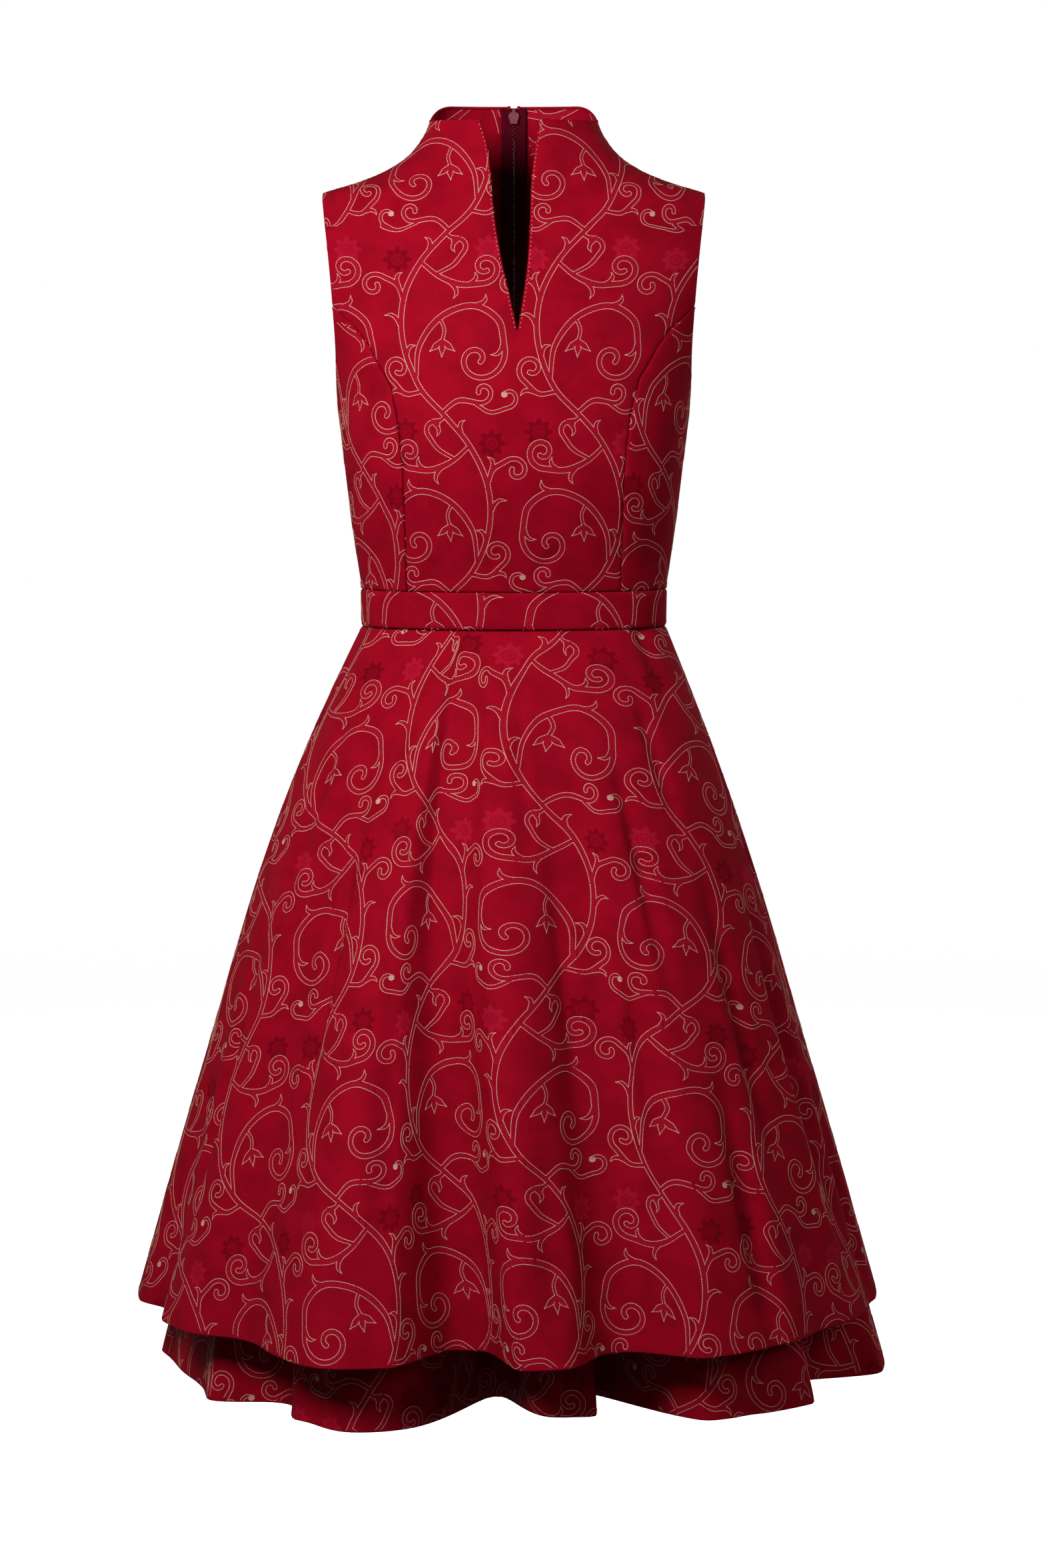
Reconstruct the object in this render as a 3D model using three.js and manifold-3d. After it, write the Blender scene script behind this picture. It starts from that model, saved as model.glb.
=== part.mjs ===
// A sleeveless folk dress, worn shape with nobody in it: a fitted bodice with a grown-on stand
// collar and a V slit, a waistband, and a flared skirt of two layers with a concealed back zip.
// Millimetres. +Z is up, the front of the dress faces -Y, and the wearer's left is +X.
// Z = 0 is the height of the shoulder tips, and X = Y = 0 is midway between them.
import * as THREE from "three";
import { mergeVertices } from "three/addons/utils/BufferGeometryUtils.js";
import Module from "manifold-3d";

const wasm = await Module();
wasm.setup();

// Driving dimensions
const BODICE_CLOTH = 1.8;
const BAND_CLOTH = 2.4;
const SKIRT_CLOTH = 1.5;
const SEAM_GAP = 0.4;
const SHOULDER_HALF = 170.5;
const UNDERARM_Z = -183;
const SEAM_NOTCH_Z = -102; // where the princess seam runs into the armhole
const WAIST_TOP_Z = -352;
const WAIST_BOTTOM_Z = -385;
const COLLAR_TOP_Z = 62; // the collar's edge in front; it rises towards the back
const SLIT_BOTTOM_Z = -124;
const UPPER_HEM_Z = -991;
const LOWER_HEM_Z = -1057;
const LAYER_GAP_TOP = 3.2;
const LAYER_GAP_HEM = 9;
const ZIP_END_Z = -545;

const RED = new THREE.Color(0x9d0a20);
const cloth = (name) => new THREE.MeshStandardMaterial({ name, color: RED, roughness: 0.6, metalness: 0 });
const tapeCloth = new THREE.MeshStandardMaterial({ color: 0x4c0610, roughness: 0.85, metalness: 0 });
const lacqueredMetal = new THREE.MeshStandardMaterial({ color: 0x6e2433, roughness: 0.4, metalness: 0.5 });

// Rows of named columns, sorted by their first column
function table(columns, rows) {
  return rows
    .map((row) => Object.fromEntries(columns.map((name, i) => [name, row[i]])))
    .sort((a, b) => a[columns[0]] - b[columns[0]]);
}

// A smooth line through a table's rows that never overshoots between two of them
function along(rows, at, column) {
  const x = rows.map((row) => row[at]);
  const y = rows.map((row) => row[column]);
  const slope = x.slice(1).map((value, i) => (y[i + 1] - y[i]) / (value - x[i]));
  const tangent = x.map((_, i) => {
    const before = slope[Math.max(0, i - 1)];
    const after = slope[Math.min(slope.length - 1, i)];
    return before * after <= 0 ? 0 : (2 * before * after) / (before + after);
  });
  tangent[0] = slope[0];
  tangent[x.length - 1] = slope[slope.length - 1];
  return (value) => {
    if (value <= x[0]) return y[0] + tangent[0] * (value - x[0]);
    const last = x.length - 1;
    if (value >= x[last]) return y[last] + tangent[last] * (value - x[last]);
    const i = x.findIndex((knot) => knot > value) - 1;
    const step = x[i + 1] - x[i];
    const t = (value - x[i]) / step;
    return (
      y[i] * (1 + 2 * t) * (1 - t) ** 2 +
      tangent[i] * step * t * (1 - t) ** 2 +
      y[i + 1] * t * t * (3 - 2 * t) +
      tangent[i + 1] * step * t * t * (t - 1)
    );
  };
}

const smooth = (t) => {
  const u = Math.min(1, Math.max(0, t));
  return u * u * (3 - 2 * u);
};
const mix = (a, b, t) => a + (b - a) * t;
const degrees = (value) => (value * Math.PI) / 180;

// Level sections of the bodice: how far it reaches to the side, front and back, and how square it is
const BODICE = table(["z", "side", "front", "back", "power"], [
  [COLLAR_TOP_Z, 74, 49.5, 53, 2.0],
  [50, 79, 51, 54, 2.0],
  [41, 85.5, 53, 56, 2.0],
  [33, 93, 55, 58.5, 1.95],
  [25, 104.5, 58, 62, 1.9],
  [17, 120, 61, 66, 1.8],
  [9, 141, 64, 70, 1.75],
  [3, 161, 66, 73.5, 1.75],
  [0, SHOULDER_HALF, 67, 75, 1.75],
  [-20, 168.5, 75, 83, 1.85],
  [-49, 165, 86, 91, 2.0],
  [-98, 160.5, 102, 98, 2.2],
  [-147, 158, 113, 99, 2.3],
  [UNDERARM_Z, 158, 118, 97, 2.35],
  [-212, 155, 120, 94, 2.4],
  [-247, 151, 118, 90, 2.4],
  [-297, 145, 106, 85, 2.3],
  [-337, 139, 92, 82, 2.2],
  [WAIST_TOP_Z, 137, 88, 81, 2.2],
  [WAIST_BOTTOM_Z, 136.5, 86, 81, 2.2],
]);
const bodice = {};
for (const column of ["side", "front", "back", "power"]) bodice[column] = along(BODICE, "z", column);

// Half the distance between the two princess seams, up to the armhole
const PRINCESS = table(["z", "half"], [
  [WAIST_TOP_Z, 95], [-297, 96], [-241, 98], [-209, 101], [-190, 104],
  [-169, 110], [-155, 117], [-139, 125.5], [-123, 137], [SEAM_NOTCH_Z, 159.4],
]);
const princessHalf = along(PRINCESS, "z", "half");

// The V slit: half its width and how far its middle lies off centre
const SLIT = table(["z", "half", "shift"], [
  [SLIT_BOTTOM_Z, 0, 3.5], [-92, 6, 2.6], [-61, 11.5, 1], [-25, 15.4, -1], [8, 17.6, -2], [38, 21, -2],
  [COLLAR_TOP_Z, 26.8, -3],
]);
const slitHalf = along(SLIT, "z", "half");
const slitShift = along(SLIT, "z", "shift");

// How far the armhole's edge stands from the shoulder line, front and back
const ARMHOLE_REACH = { front: 50, back: 54 };
function armholeDepth(z, half) {
  const middle = UNDERARM_Z / 2;
  const up = (z - middle) / middle;
  return Math.abs(up) >= 1 ? 0 : ARMHOLE_REACH[half] * Math.sqrt(1 - up * up);
}

// A section that passes through the armhole's edge is wider than that edge
function bodiceRing(z, half) {
  const depth = bodice[half](z);
  const power = bodice.power(z);
  const cut = armholeDepth(z, half);
  const side = bodice.side(z) / (1 - (cut / depth) ** power) ** (1 / power);
  return { side, depth, power, cut };
}

const ringPoint = (ring, angle) => [
  ring.side * Math.sign(Math.sin(angle)) * Math.abs(Math.sin(angle)) ** (2 / ring.power),
  ring.depth * Math.abs(Math.cos(angle)) ** (2 / ring.power),
];
const angleAtX = (ring, x) => {
  const share = Math.min(1, Math.abs(x) / ring.side);
  return Math.sign(x) * Math.asin(share ** (ring.power / 2));
};
const angleAtDepth = (ring, y) => Math.acos(Math.min(1, y / ring.depth) ** (ring.power / 2));

// The collar's edge is lowest in front and rises behind the shoulder seams
function collarLift(z, back) {
  const rise = 2.2 * (1 + back) + 13.6 * smooth((back + 0.1) / 0.75);
  return rise * smooth((z - 15) / (COLLAR_TOP_Z - 15));
}

function bodicePoint(half, angle, z) {
  const ring = bodiceRing(z, half);
  const [x, depth] = ringPoint(ring, angle);
  const y = half === "front" ? -depth : depth;
  return new THREE.Vector3(x, y, z + collarLift(z, y / ring.depth));
}

// Level sections of the skirt's outer layer at its ridges, and how far it hangs to the side
const SKIRT_COLUMNS = ["z", "side", "front", "back", "power", "swing"];
const UPPER_SKIRT = table(SKIRT_COLUMNS, [
  [WAIST_BOTTOM_Z, 136.5, 86, 81, 2.2, 0],
  [-423, 153.5, 106, 104, 2.1, -1.5],
  [-495, 184, 142, 148, 2.05, -4],
  [-567, 211, 176, 184, 2.0, -5.5],
  [-640, 235, 206, 217, 2.0, -6],
  [-738, 263.5, 244, 252, 2.0, -6],
  [-861, 300, 286, 289, 2.0, -6],
  [UPPER_HEM_Z, 337, 322, 325, 2.0, -6],
]);
const LOWER_SKIRT = table(SKIRT_COLUMNS, [
  [WAIST_BOTTOM_Z, 133.3, 82.8, 77.8, 2.2, 0],
  [-423, 149, 101, 98, 2.1, -1.5],
  [-495, 178, 132, 138, 2.05, -4],
  [-640, 228, 184, 198, 2.0, -6],
  [-861, 293, 238, 262, 2.0, -6],
  [LOWER_HEM_Z, 350, 266, 300, 2.0, -6],
]);

// Folds sink between ridges: where each lies at the hem and at the waist, in degrees from the
// front's middle, half its width, its depth at the hem (below 0 a ridge), how far down it starts
// and how flat its floor is
const FOLD_COLUMNS = ["hem", "top", "half", "depth", "start", "flat"];
const UPPER_FOLDS = table(FOLD_COLUMNS, [
  [-155, -158, 12, 46, 0.1, 1.3],
  [-131, -130, 10, 32, 0.05, 1.1],
  [-107, -108, 11, 50, 0.12, 1.4],
  [-73, -76, 8, 18, 0.4, 1.0],
  [-47, -53, 11, 20, 0.05, 1.1],
  [-27, -37, 13, -24, 0.1, 1.0],
  [-7.5, -24, 10, 72, 0.02, 1.8],
  [20.5, 17, 12, 50, 0.03, 1.3],
  [58, 60, 10, 8, 0.3, 1.0],
  [105, 104, 10, 38, 0.08, 1.2],
  [128, 128, 11, 56, 0.04, 1.5],
  [154, 156, 10, 40, 0.15, 1.1],
]);
const LOWER_FOLDS = table(FOLD_COLUMNS, [
  [-153, -156, 12, 58, 0.1, 1.3],
  [-128, -130, 10, 46, 0.1, 1.1],
  [-103, -106, 9, 52, 0.15, 1.2],
  [-79, -80, 27, 47, 0.3, 1.5],
  [-49, -54, 11, 46, 0.2, 1.2],
  [-27, -36, 12, -22, 0.2, 1.0],
  [-4, -21, 14, 78, 0.1, 1.2],
  [9, 2, 30, 44, 0.1, 2.2],
  [28, 21, 9, 92, 0.2, 1.1],
  [69, 69, 12, 62, 0.2, 1.2],
  [103, 104, 9, 42, 0.1, 1.2],
  [128, 129, 11, 64, 0.1, 1.4],
  [155, 157, 10, 50, 0.15, 1.1],
]);
// Small tucks under the waistband: half the width, the depth at the seam and the share they run down
const TUCKS = table(["hem", "half", "depth", "length"], [[-78, 8, 3, 0.22], [63, 7, 4.5, 0.16]]);
const SEAMS = [-180, -90, 90, 180];

function foldDepth(folds, hemAngle, fall) {
  let sum = 0;
  for (const fold of folds) {
    const grown = Math.max(0, (fall - fold.start) / (1 - fold.start)) ** 1.15;
    const off = Math.abs(hemAngle - fold.hem) / fold.half;
    if (off < 1) sum += fold.depth * grown * Math.cos((Math.PI / 2) * off ** fold.flat) ** 2;
  }
  for (const tuck of TUCKS) {
    const off = Math.abs(hemAngle - tuck.hem) / tuck.half;
    if (off < 1) sum += tuck.depth * (1 - smooth(fall / tuck.length)) * Math.cos((Math.PI / 2) * off) ** 2;
  }
  return sum;
}

function skirtShape(rows, folds, hemZ) {
  const at = {};
  for (const column of ["side", "front", "back", "power", "swing"]) at[column] = along(rows, "z", column);
  const seams = SEAMS.map((angle) => ({ hem: angle, top: angle }));
  const lines = [...folds, ...seams].sort((a, b) => a.hem - b.hem);
  return { at, folds, lines, hemZ };
}
const upperShape = skirtShape(UPPER_SKIRT, UPPER_FOLDS, UPPER_HEM_Z);
const lowerShape = skirtShape(LOWER_SKIRT, LOWER_FOLDS, LOWER_HEM_Z);
const fallOf = (shape, z) => Math.max(0, (WAIST_BOTTOM_Z - z) / (WAIST_BOTTOM_Z - shape.hemZ));

// The cloth's lines run down the folds: from a line's place at the hem to its place higher up
function lineAngle(shape, hemAngle, fall, back = false) {
  const { lines } = shape;
  const here = (line) => mix(line.top, line.hem, fall);
  const from = back ? here : (line) => line.hem;
  const to = back ? (line) => line.hem : here;
  let i = 1;
  while (i < lines.length - 1 && from(lines[i]) < hemAngle) i++;
  const [a, b] = [lines[i - 1], lines[i]];
  return mix(to(a), to(b), (hemAngle - from(a)) / (from(b) - from(a)));
}

// A skirt layer as a distance from the skirt's axis, by direction and height
function reach(shape, angle, z) {
  const half = Math.cos(degrees(angle)) > 0 ? "front" : "back";
  const power = shape.at.power(z);
  const across = Math.abs(Math.sin(degrees(angle)) / shape.at.side(z)) ** power;
  const through = Math.abs(Math.cos(degrees(angle)) / shape.at[half](z)) ** power;
  const fall = fallOf(shape, z);
  const hemAngle = lineAngle(shape, angle, fall, true);
  return (across + through) ** (-1 / power) - foldDepth(shape.folds, hemAngle, fall);
}

// The smaller of two distances, rounded off where they cross
function lesser(a, b, round) {
  const h = Math.max(0, round - Math.abs(a - b)) / round;
  return Math.min(a, b) - (h * h * round) / 4;
}

function layerPoint(layer, line, z) {
  const own = layer === "lower" ? lowerShape : upperShape;
  const angle = lineAngle(own, THREE.MathUtils.radToDeg(line), fallOf(own, z));
  let distance = reach(upperShape, angle, z);
  const swing = upperShape.at.swing(z);
  if (layer === "lower") {
    const fall = Math.min(1, fallOf(upperShape, z));
    const gap = mix(LAYER_GAP_TOP, LAYER_GAP_HEM, fall ** 0.8);
    distance = lesser(reach(lowerShape, angle, z), distance - gap, mix(0.5, 12, fall));
  }
  const turn = degrees(angle);
  return new THREE.Vector3(swing + distance * Math.sin(turn), -distance * Math.cos(turn), z);
}

// Closes a curved face into a wall: cells are quads of vertices, each with a point and an outward normal
function wall(vertices, cells, thickness) {
  const count = vertices.length;
  const position = [];
  for (const { point } of vertices) position.push(point.x, point.y, point.z);
  for (const { point, normal } of vertices) {
    const inner = point.clone().addScaledVector(normal, -thickness);
    position.push(inner.x, inner.y, inner.z);
  }
  const index = [];
  const edges = new Map();
  const triangle = (a, b, c) => {
    index.push(a, b, c, a + count, c + count, b + count);
    for (const [from, to] of [[a, b], [b, c], [c, a]]) {
      if (!edges.delete(`${to},${from}`)) edges.set(`${from},${to}`, [from, to]);
    }
  };
  for (const [a, b, c, d] of cells) {
    triangle(a, b, c);
    triangle(a, c, d);
  }
  for (const [from, to] of edges.values()) {
    index.push(from, from + count, to, to, from + count, to + count);
  }
  return new THREE.BufferGeometry()
    .setAttribute("position", new THREE.Float32BufferAttribute(position, 3))
    .setIndex(index);
}

// A face's outward normal, from the face a little further round and a little further up
function normalOf(face, angle, z) {
  const round = face(angle + 1e-3, z).sub(face(angle - 1e-3, z));
  const up = face(angle, z + 0.2).sub(face(angle, z - 0.2));
  return round.cross(up).normalize();
}

const evenly = (count) => Array.from({ length: count + 1 }, (_, i) => i / count);

// A panel between two edges: edge(z) gives the angles of both, and shares place the columns between
function panel(face, heights, shares, edge, thickness) {
  const vertices = [];
  const cells = [];
  heights.forEach((z, row) => {
    const [from, to] = edge(z);
    shares.forEach((share, column) => {
      const angle = mix(from, to, share);
      vertices.push({ point: face(angle, z), normal: normalOf(face, angle, z) });
      if (row && column) {
        const here = row * shares.length + column;
        const below = here - shares.length;
        cells.push([below - 1, below, here, here - 1]);
      }
    });
  });
  return wall(vertices, cells, thickness);
}

const LOW_HEIGHTS = [WAIST_TOP_Z, -335, -315, -293, -271, -249, -229, -212, -197, UNDERARM_Z];
const ARMHOLE_HEIGHTS = [-179, -173, -164, -153, -142, -133, SLIT_BOTTOM_Z, -113, SEAM_NOTCH_Z - 1.3];
const SHOULDER_HEIGHTS = [
  SEAM_NOTCH_Z, -90, -75, -60, -45, -31, -19, -9, -3, 0, 3, 7, 12, 18, 26, 35, 44, 53,
];
const frontFace = (angle, z) => bodicePoint("front", angle, z);
const backFace = (angle, z) => bodicePoint("back", -angle, z);

// A bodice piece ends at the side seam, the armhole's edge or the shoulder seam
const edgeAngle = (z, half) => {
  const ring = bodiceRing(z, half);
  return angleAtDepth(ring, Math.max(ring.cut, SEAM_GAP / 2));
};

function bodiceFront() {
  const heights = [...LOW_HEIGHTS, ...ARMHOLE_HEIGHTS, ...SHOULDER_HEIGHTS, COLLAR_TOP_Z];
  const columns = 8;
  const vertices = [];
  const known = new Map();
  const cells = [];
  const vertex = (row, side, column) => {
    const z = heights[row];
    const whole = column === 0 && z <= SLIT_BOTTOM_Z;
    const key = `${row},${whole ? 0 : side},${column}`;
    if (!known.has(key)) {
      const ring = bodiceRing(z, "front");
      const seam = z < SEAM_NOTCH_Z ? angleAtX(ring, princessHalf(z) - SEAM_GAP) : edgeAngle(z, "front");
      const slit = Math.max(z, SLIT_BOTTOM_Z);
      const middle = slitShift(slit) * smooth((z - WAIST_TOP_Z) / (SLIT_BOTTOM_Z - WAIST_TOP_Z));
      const start = angleAtX(ring, middle + side * slitHalf(slit));
      const angle = mix(start, side * seam, column / columns);
      known.set(key, vertices.length);
      vertices.push({ point: frontFace(angle, z), normal: normalOf(frontFace, angle, z) });
    }
    return known.get(key);
  };
  for (let row = 1; row < heights.length; row++) {
    for (const side of [-1, 1]) {
      for (let column = 1; column <= columns; column++) {
        const cell = [
          vertex(row - 1, side, column - 1),
          vertex(row - 1, side, column),
          vertex(row, side, column),
          vertex(row, side, column - 1),
        ];
        cells.push(side > 0 ? cell : cell.reverse());
      }
    }
  }
  return wall(vertices, cells, BODICE_CLOTH);
}

function bodiceSide(side) {
  const heights = [...LOW_HEIGHTS, ...ARMHOLE_HEIGHTS];
  const edge = (z) => {
    const seam = angleAtX(bodiceRing(z, "front"), princessHalf(z) + SEAM_GAP);
    const end = edgeAngle(z, "front");
    return side > 0 ? [seam, end] : [-end, -seam];
  };
  return panel(frontFace, heights, evenly(4), edge, BODICE_CLOTH);
}

// The two back edges meet on the zip and part above it, round its slider
const zipParting = (z) => 0.3 + 3.2 * smooth((z - 52.9) / 4);

function bodiceBack(side) {
  const heights = [...LOW_HEIGHTS, ...ARMHOLE_HEIGHTS, ...SHOULDER_HEIGHTS, 57, COLLAR_TOP_Z];
  const edge = (z) => {
    const middle = angleAtX(bodiceRing(z, "back"), zipParting(z));
    const end = edgeAngle(z, "back");
    return side > 0 ? [-end, -middle] : [middle, end];
  };
  return panel(backFace, heights, evenly(7), edge, BODICE_CLOTH);
}

function bandPoint(angle, z) {
  const half = Math.cos(angle) > 0 ? "front" : "back";
  const stand = 0.8;
  const ring = { side: bodice.side(z) + stand, depth: bodice[half](z) + stand, power: bodice.power(z) };
  const [x, depth] = ringPoint(ring, angle);
  return new THREE.Vector3(x, half === "front" ? -depth : depth, z);
}

// The angles of a panel's two edges, half a seam's gap inside the seams that it runs to
function betweenSeams(face, from, to) {
  const trim = (seam, z) => SEAM_GAP / 2 / Math.hypot(face(seam, z).x, face(seam, z).y);
  return (z) => [from + trim(from, z), to - trim(to, z)];
}

function waistband(from, to, columns) {
  const [low, high] = [WAIST_BOTTOM_Z + SEAM_GAP, WAIST_TOP_Z - SEAM_GAP];
  const heights = [low, (low + high) / 2, high];
  return panel(bandPoint, heights, evenly(columns), betweenSeams(bandPoint, from, to), BAND_CLOTH);
}

// The columns of a skirt panel stand evenly along its folded hem
function skirtPanel(layer, from, to, columns, heights) {
  const face = (line, z) => layerPoint(layer, line, z);
  const samples = 400;
  const length = [0];
  for (let i = 1; i <= samples; i++) {
    const [last, next] = [i - 1, i].map((at) => face(mix(from, to, at / samples), heights[0]));
    length.push(length[i - 1] + next.distanceTo(last));
  }
  const shares = evenly(columns).map((share) => {
    const wanted = share * length[samples];
    const i = Math.max(1, length.findIndex((reached) => reached >= wanted - 1e-9));
    return (i - 1 + (wanted - length[i - 1]) / (length[i] - length[i - 1])) / samples;
  });
  return panel(face, heights, shares, betweenSeams(face, from, to), SKIRT_CLOTH);
}

const UPPER_HEIGHTS = [UPPER_HEM_Z, -935, -872, -800, -725, -650, -575, -503, -438, -402, WAIST_BOTTOM_Z];
const LOWER_HEIGHTS = [
  LOWER_HEM_Z, -1008, -946, -865, -770, -690, -615, ZIP_END_Z, -495, -430, WAIST_BOTTOM_Z,
];

// The inmost face at the back's middle, which the zip tapes lie against
function insideBack(x, z) {
  const inside = (face, angle, thickness) => {
    const normal = normalOf(face, angle, z);
    return face(angle, z).y - thickness / normal.y;
  };
  const body = () => inside(backFace, angleAtX(bodiceRing(z, "back"), x), BODICE_CLOTH);
  const skirtAngle = Math.PI - x / layerPoint("lower", Math.PI, z).y;
  const skirt = () => inside((angle, at) => layerPoint("lower", angle, at), skirtAngle, SKIRT_CLOTH);
  if (z > WAIST_BOTTOM_Z) return body();
  return z < WAIST_BOTTOM_Z ? skirt() : Math.min(body(), skirt());
}

function zipTape(side) {
  const onBodice = [...LOW_HEIGHTS, ...ARMHOLE_HEIGHTS, ...SHOULDER_HEIGHTS];
  const heights = [ZIP_END_Z, -495, -430, WAIST_BOTTOM_Z, ...onBodice];
  const [near, far, thick] = [0.4, 11.5, 0.8];
  const vertices = [];
  const cells = [];
  heights.forEach((z, row) => {
    for (let column = 0; column <= 1; column++) {
      const x = side * mix(near, far, column);
      const point = new THREE.Vector3(x, insideBack(x, z) - 0.8, z + collarLift(z, 1));
      vertices.push({ point, normal: new THREE.Vector3(0, 1, 0) });
      if (row && column) {
        const here = row * 2 + column;
        const cell = [here - 3, here - 2, here, here - 1];
        cells.push(side > 0 ? cell.reverse() : cell);
      }
    }
  });
  return wall(vertices, cells, thick);
}

// A closed geometry as a solid, and a solid as a geometry
function solid(geometry) {
  const plain = geometry.index ? geometry.toNonIndexed() : geometry.clone();
  plain.deleteAttribute("normal");
  plain.deleteAttribute("uv");
  const merged = mergeVertices(plain, 1e-4);
  return new wasm.Manifold(
    new wasm.Mesh({
      numProp: 3,
      vertProperties: merged.attributes.position.array,
      triVerts: new Uint32Array(merged.index.array),
    }),
  );
}

function geometryOf(shape) {
  const mesh = shape.getMesh();
  return new THREE.BufferGeometry()
    .setAttribute("position", new THREE.BufferAttribute(mesh.vertProperties, 3))
    .setIndex(new THREE.BufferAttribute(mesh.triVerts, 1));
}

function block(x0, x1, y0, y1, z0, z1) {
  const box = new THREE.BoxGeometry(x1 - x0, y1 - y0, z1 - z0);
  return box.translate((x0 + x1) / 2, (y0 + y1) / 2, (z0 + z1) / 2);
}

// A plate drawn in X and Z, from y0 to y1
function plate(outline, y0, y1, window) {
  const shape = new THREE.Shape(outline.map(([x, z]) => new THREE.Vector2(x, z)));
  if (window) shape.holes.push(new THREE.Path(window.map(([x, z]) => new THREE.Vector2(x, z))));
  return new THREE.ExtrudeGeometry(shape, { depth: y1 - y0, bevelEnabled: false, curveSegments: 8 })
    .rotateX(Math.PI / 2)
    .translate(0, y1, 0);
}

// The slider sits at the top of the closed zip; its bridge outside carries the pull tab
const SLIDER_TOP_Z = 75;
const COLLAR_BACK_Y = 54.5;
const PULL_AXIS = { y: COLLAR_BACK_Y + 2.6, z: SLIDER_TOP_Z - 2.6 };

function zipSlider() {
  const top = SLIDER_TOP_Z;
  const insideY = insideBack(0, 53) - 2;
  const bodyBack = insideY - 2.5;
  const shield = [[-3.3, top - 10.8], [3.3, top - 10.8], [3.6, top - 7.8], [4.7, top - 4.8], [4.6, top - 2.4],
    [2.6, top], [-2.6, top], [-4.6, top - 2.4], [-4.7, top - 4.8], [-3.6, top - 7.8]];
  const face = PULL_AXIS.y - 1;
  const parts = [
    plate(shield, bodyBack, insideY),
    block(-1.5, 1.5, bodyBack, face, top - 0.4, top + 3.2),
    block(-2.2, 2.2, face - 0.8, face, top - 11.3, top + 3.2),
    block(-0.8, 0.8, face - 0.1, face + 3, top - 1.8, top - 0.8),
    block(-0.8, 0.8, face - 0.1, face + 3, top - 7.3, top - 6.3),
    block(-0.8, 0.8, face + 2, face + 3, top - 7.3, top - 0.8),
  ];
  return geometryOf(parts.map(solid).reduce((whole, next) => whole.add(next)));
}

function zipPullTab() {
  const { y, z } = PULL_AXIS;
  const outline = [[-2.3, z + 0.5], [-2.9, z - 17]];
  for (let i = 0; i <= 6; i++) {
    const turn = Math.PI + (i / 6) * Math.PI;
    outline.push([2.9 * Math.cos(turn), z - 18.5 + 2.9 * Math.sin(turn)]);
  }
  outline.push([2.9, z - 17], [2.3, z + 0.5]);
  const window = [[-1.35, z - 0.5], [1.35, z - 0.5], [1.35, z - 5.8], [-1.35, z - 5.8]];
  return plate(outline, y - 0.45, y + 0.45, window);
}

const [SIDE_SEAM, BACK_SEAM] = [Math.PI / 2, Math.PI];
const dress = new THREE.Group();

function add(name, geometry, material) {
  const mesh = new THREE.Mesh(geometry, material);
  mesh.name = name;
  dress.add(mesh);
}

add("bodice_front", bodiceFront(), cloth("bodice"));
for (const [word, side] of [["left", 1], ["right", -1]]) {
  add(`bodice_side_${word}`, bodiceSide(side), cloth("bodice"));
  add(`bodice_back_${word}`, bodiceBack(side), cloth("bodice"));
}
add("waistband_front", waistband(-SIDE_SEAM, SIDE_SEAM, 28), cloth("waistband"));
add("waistband_back_left", waistband(SIDE_SEAM, BACK_SEAM, 14), cloth("waistband"));
add("waistband_back_right", waistband(-BACK_SEAM, -SIDE_SEAM, 14), cloth("waistband"));
for (const [layer, heights, columns] of [["upper", UPPER_HEIGHTS, 54], ["lower", LOWER_HEIGHTS, 58]]) {
  const name = `skirt_${layer}`;
  const material = cloth(name);
  add(`${name}_front`, skirtPanel(layer, -SIDE_SEAM, SIDE_SEAM, columns, heights), material);
  add(`${name}_back_left`, skirtPanel(layer, SIDE_SEAM, BACK_SEAM, columns / 2, heights), material);
  add(`${name}_back_right`, skirtPanel(layer, -BACK_SEAM, -SIDE_SEAM, columns / 2, heights), material);
}
add("zip_tape_left", zipTape(1), tapeCloth);
add("zip_tape_right", zipTape(-1), tapeCloth);
add("zip_slider", zipSlider(), lacqueredMetal);
add("zip_pull_tab", zipPullTab(), lacqueredMetal);

export default dress;
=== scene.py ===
"""A sleeveless folk dress in red jacquard with woven scroll vines, in its worn shape with nobody in it.

Tables and surface functions are in millimetres; meshes are in metres. +Z is up, the front faces -Y,
the wearer's left is +X, and Z = 0 is the height of the shoulder tips.
"""
import math
from bisect import bisect_right
from functools import lru_cache

import bmesh
import bpy
from bpy.props import FloatProperty, FloatVectorProperty, PointerProperty
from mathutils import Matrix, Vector
from mathutils.bvhtree import BVHTree
from mathutils.geometry import barycentric_transform


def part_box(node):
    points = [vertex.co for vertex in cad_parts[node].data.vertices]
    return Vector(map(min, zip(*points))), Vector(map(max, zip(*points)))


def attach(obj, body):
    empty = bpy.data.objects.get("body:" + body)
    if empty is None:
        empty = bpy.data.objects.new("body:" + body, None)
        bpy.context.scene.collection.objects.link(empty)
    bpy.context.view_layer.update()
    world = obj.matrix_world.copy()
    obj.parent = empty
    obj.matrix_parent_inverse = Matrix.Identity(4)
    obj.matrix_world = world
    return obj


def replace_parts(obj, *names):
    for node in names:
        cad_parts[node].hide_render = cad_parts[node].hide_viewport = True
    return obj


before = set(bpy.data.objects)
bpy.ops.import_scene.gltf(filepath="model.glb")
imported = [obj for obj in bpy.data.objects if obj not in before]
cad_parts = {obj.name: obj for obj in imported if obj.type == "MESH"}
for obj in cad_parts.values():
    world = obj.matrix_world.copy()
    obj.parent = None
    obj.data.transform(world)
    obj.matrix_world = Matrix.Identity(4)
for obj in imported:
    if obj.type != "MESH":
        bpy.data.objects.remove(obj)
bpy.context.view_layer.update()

bl_info = {
    "name": "Folk dress",
    "version": (1, 0, 0),
    "blender": (4, 5, 0),
    "location": "3D View > Sidebar > Dress",
    "description": "Lays the cloth, the woven scrolls and the zip of a folk dress on its fixed frame",
    "category": "Object",
}

MM = 0.001


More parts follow.
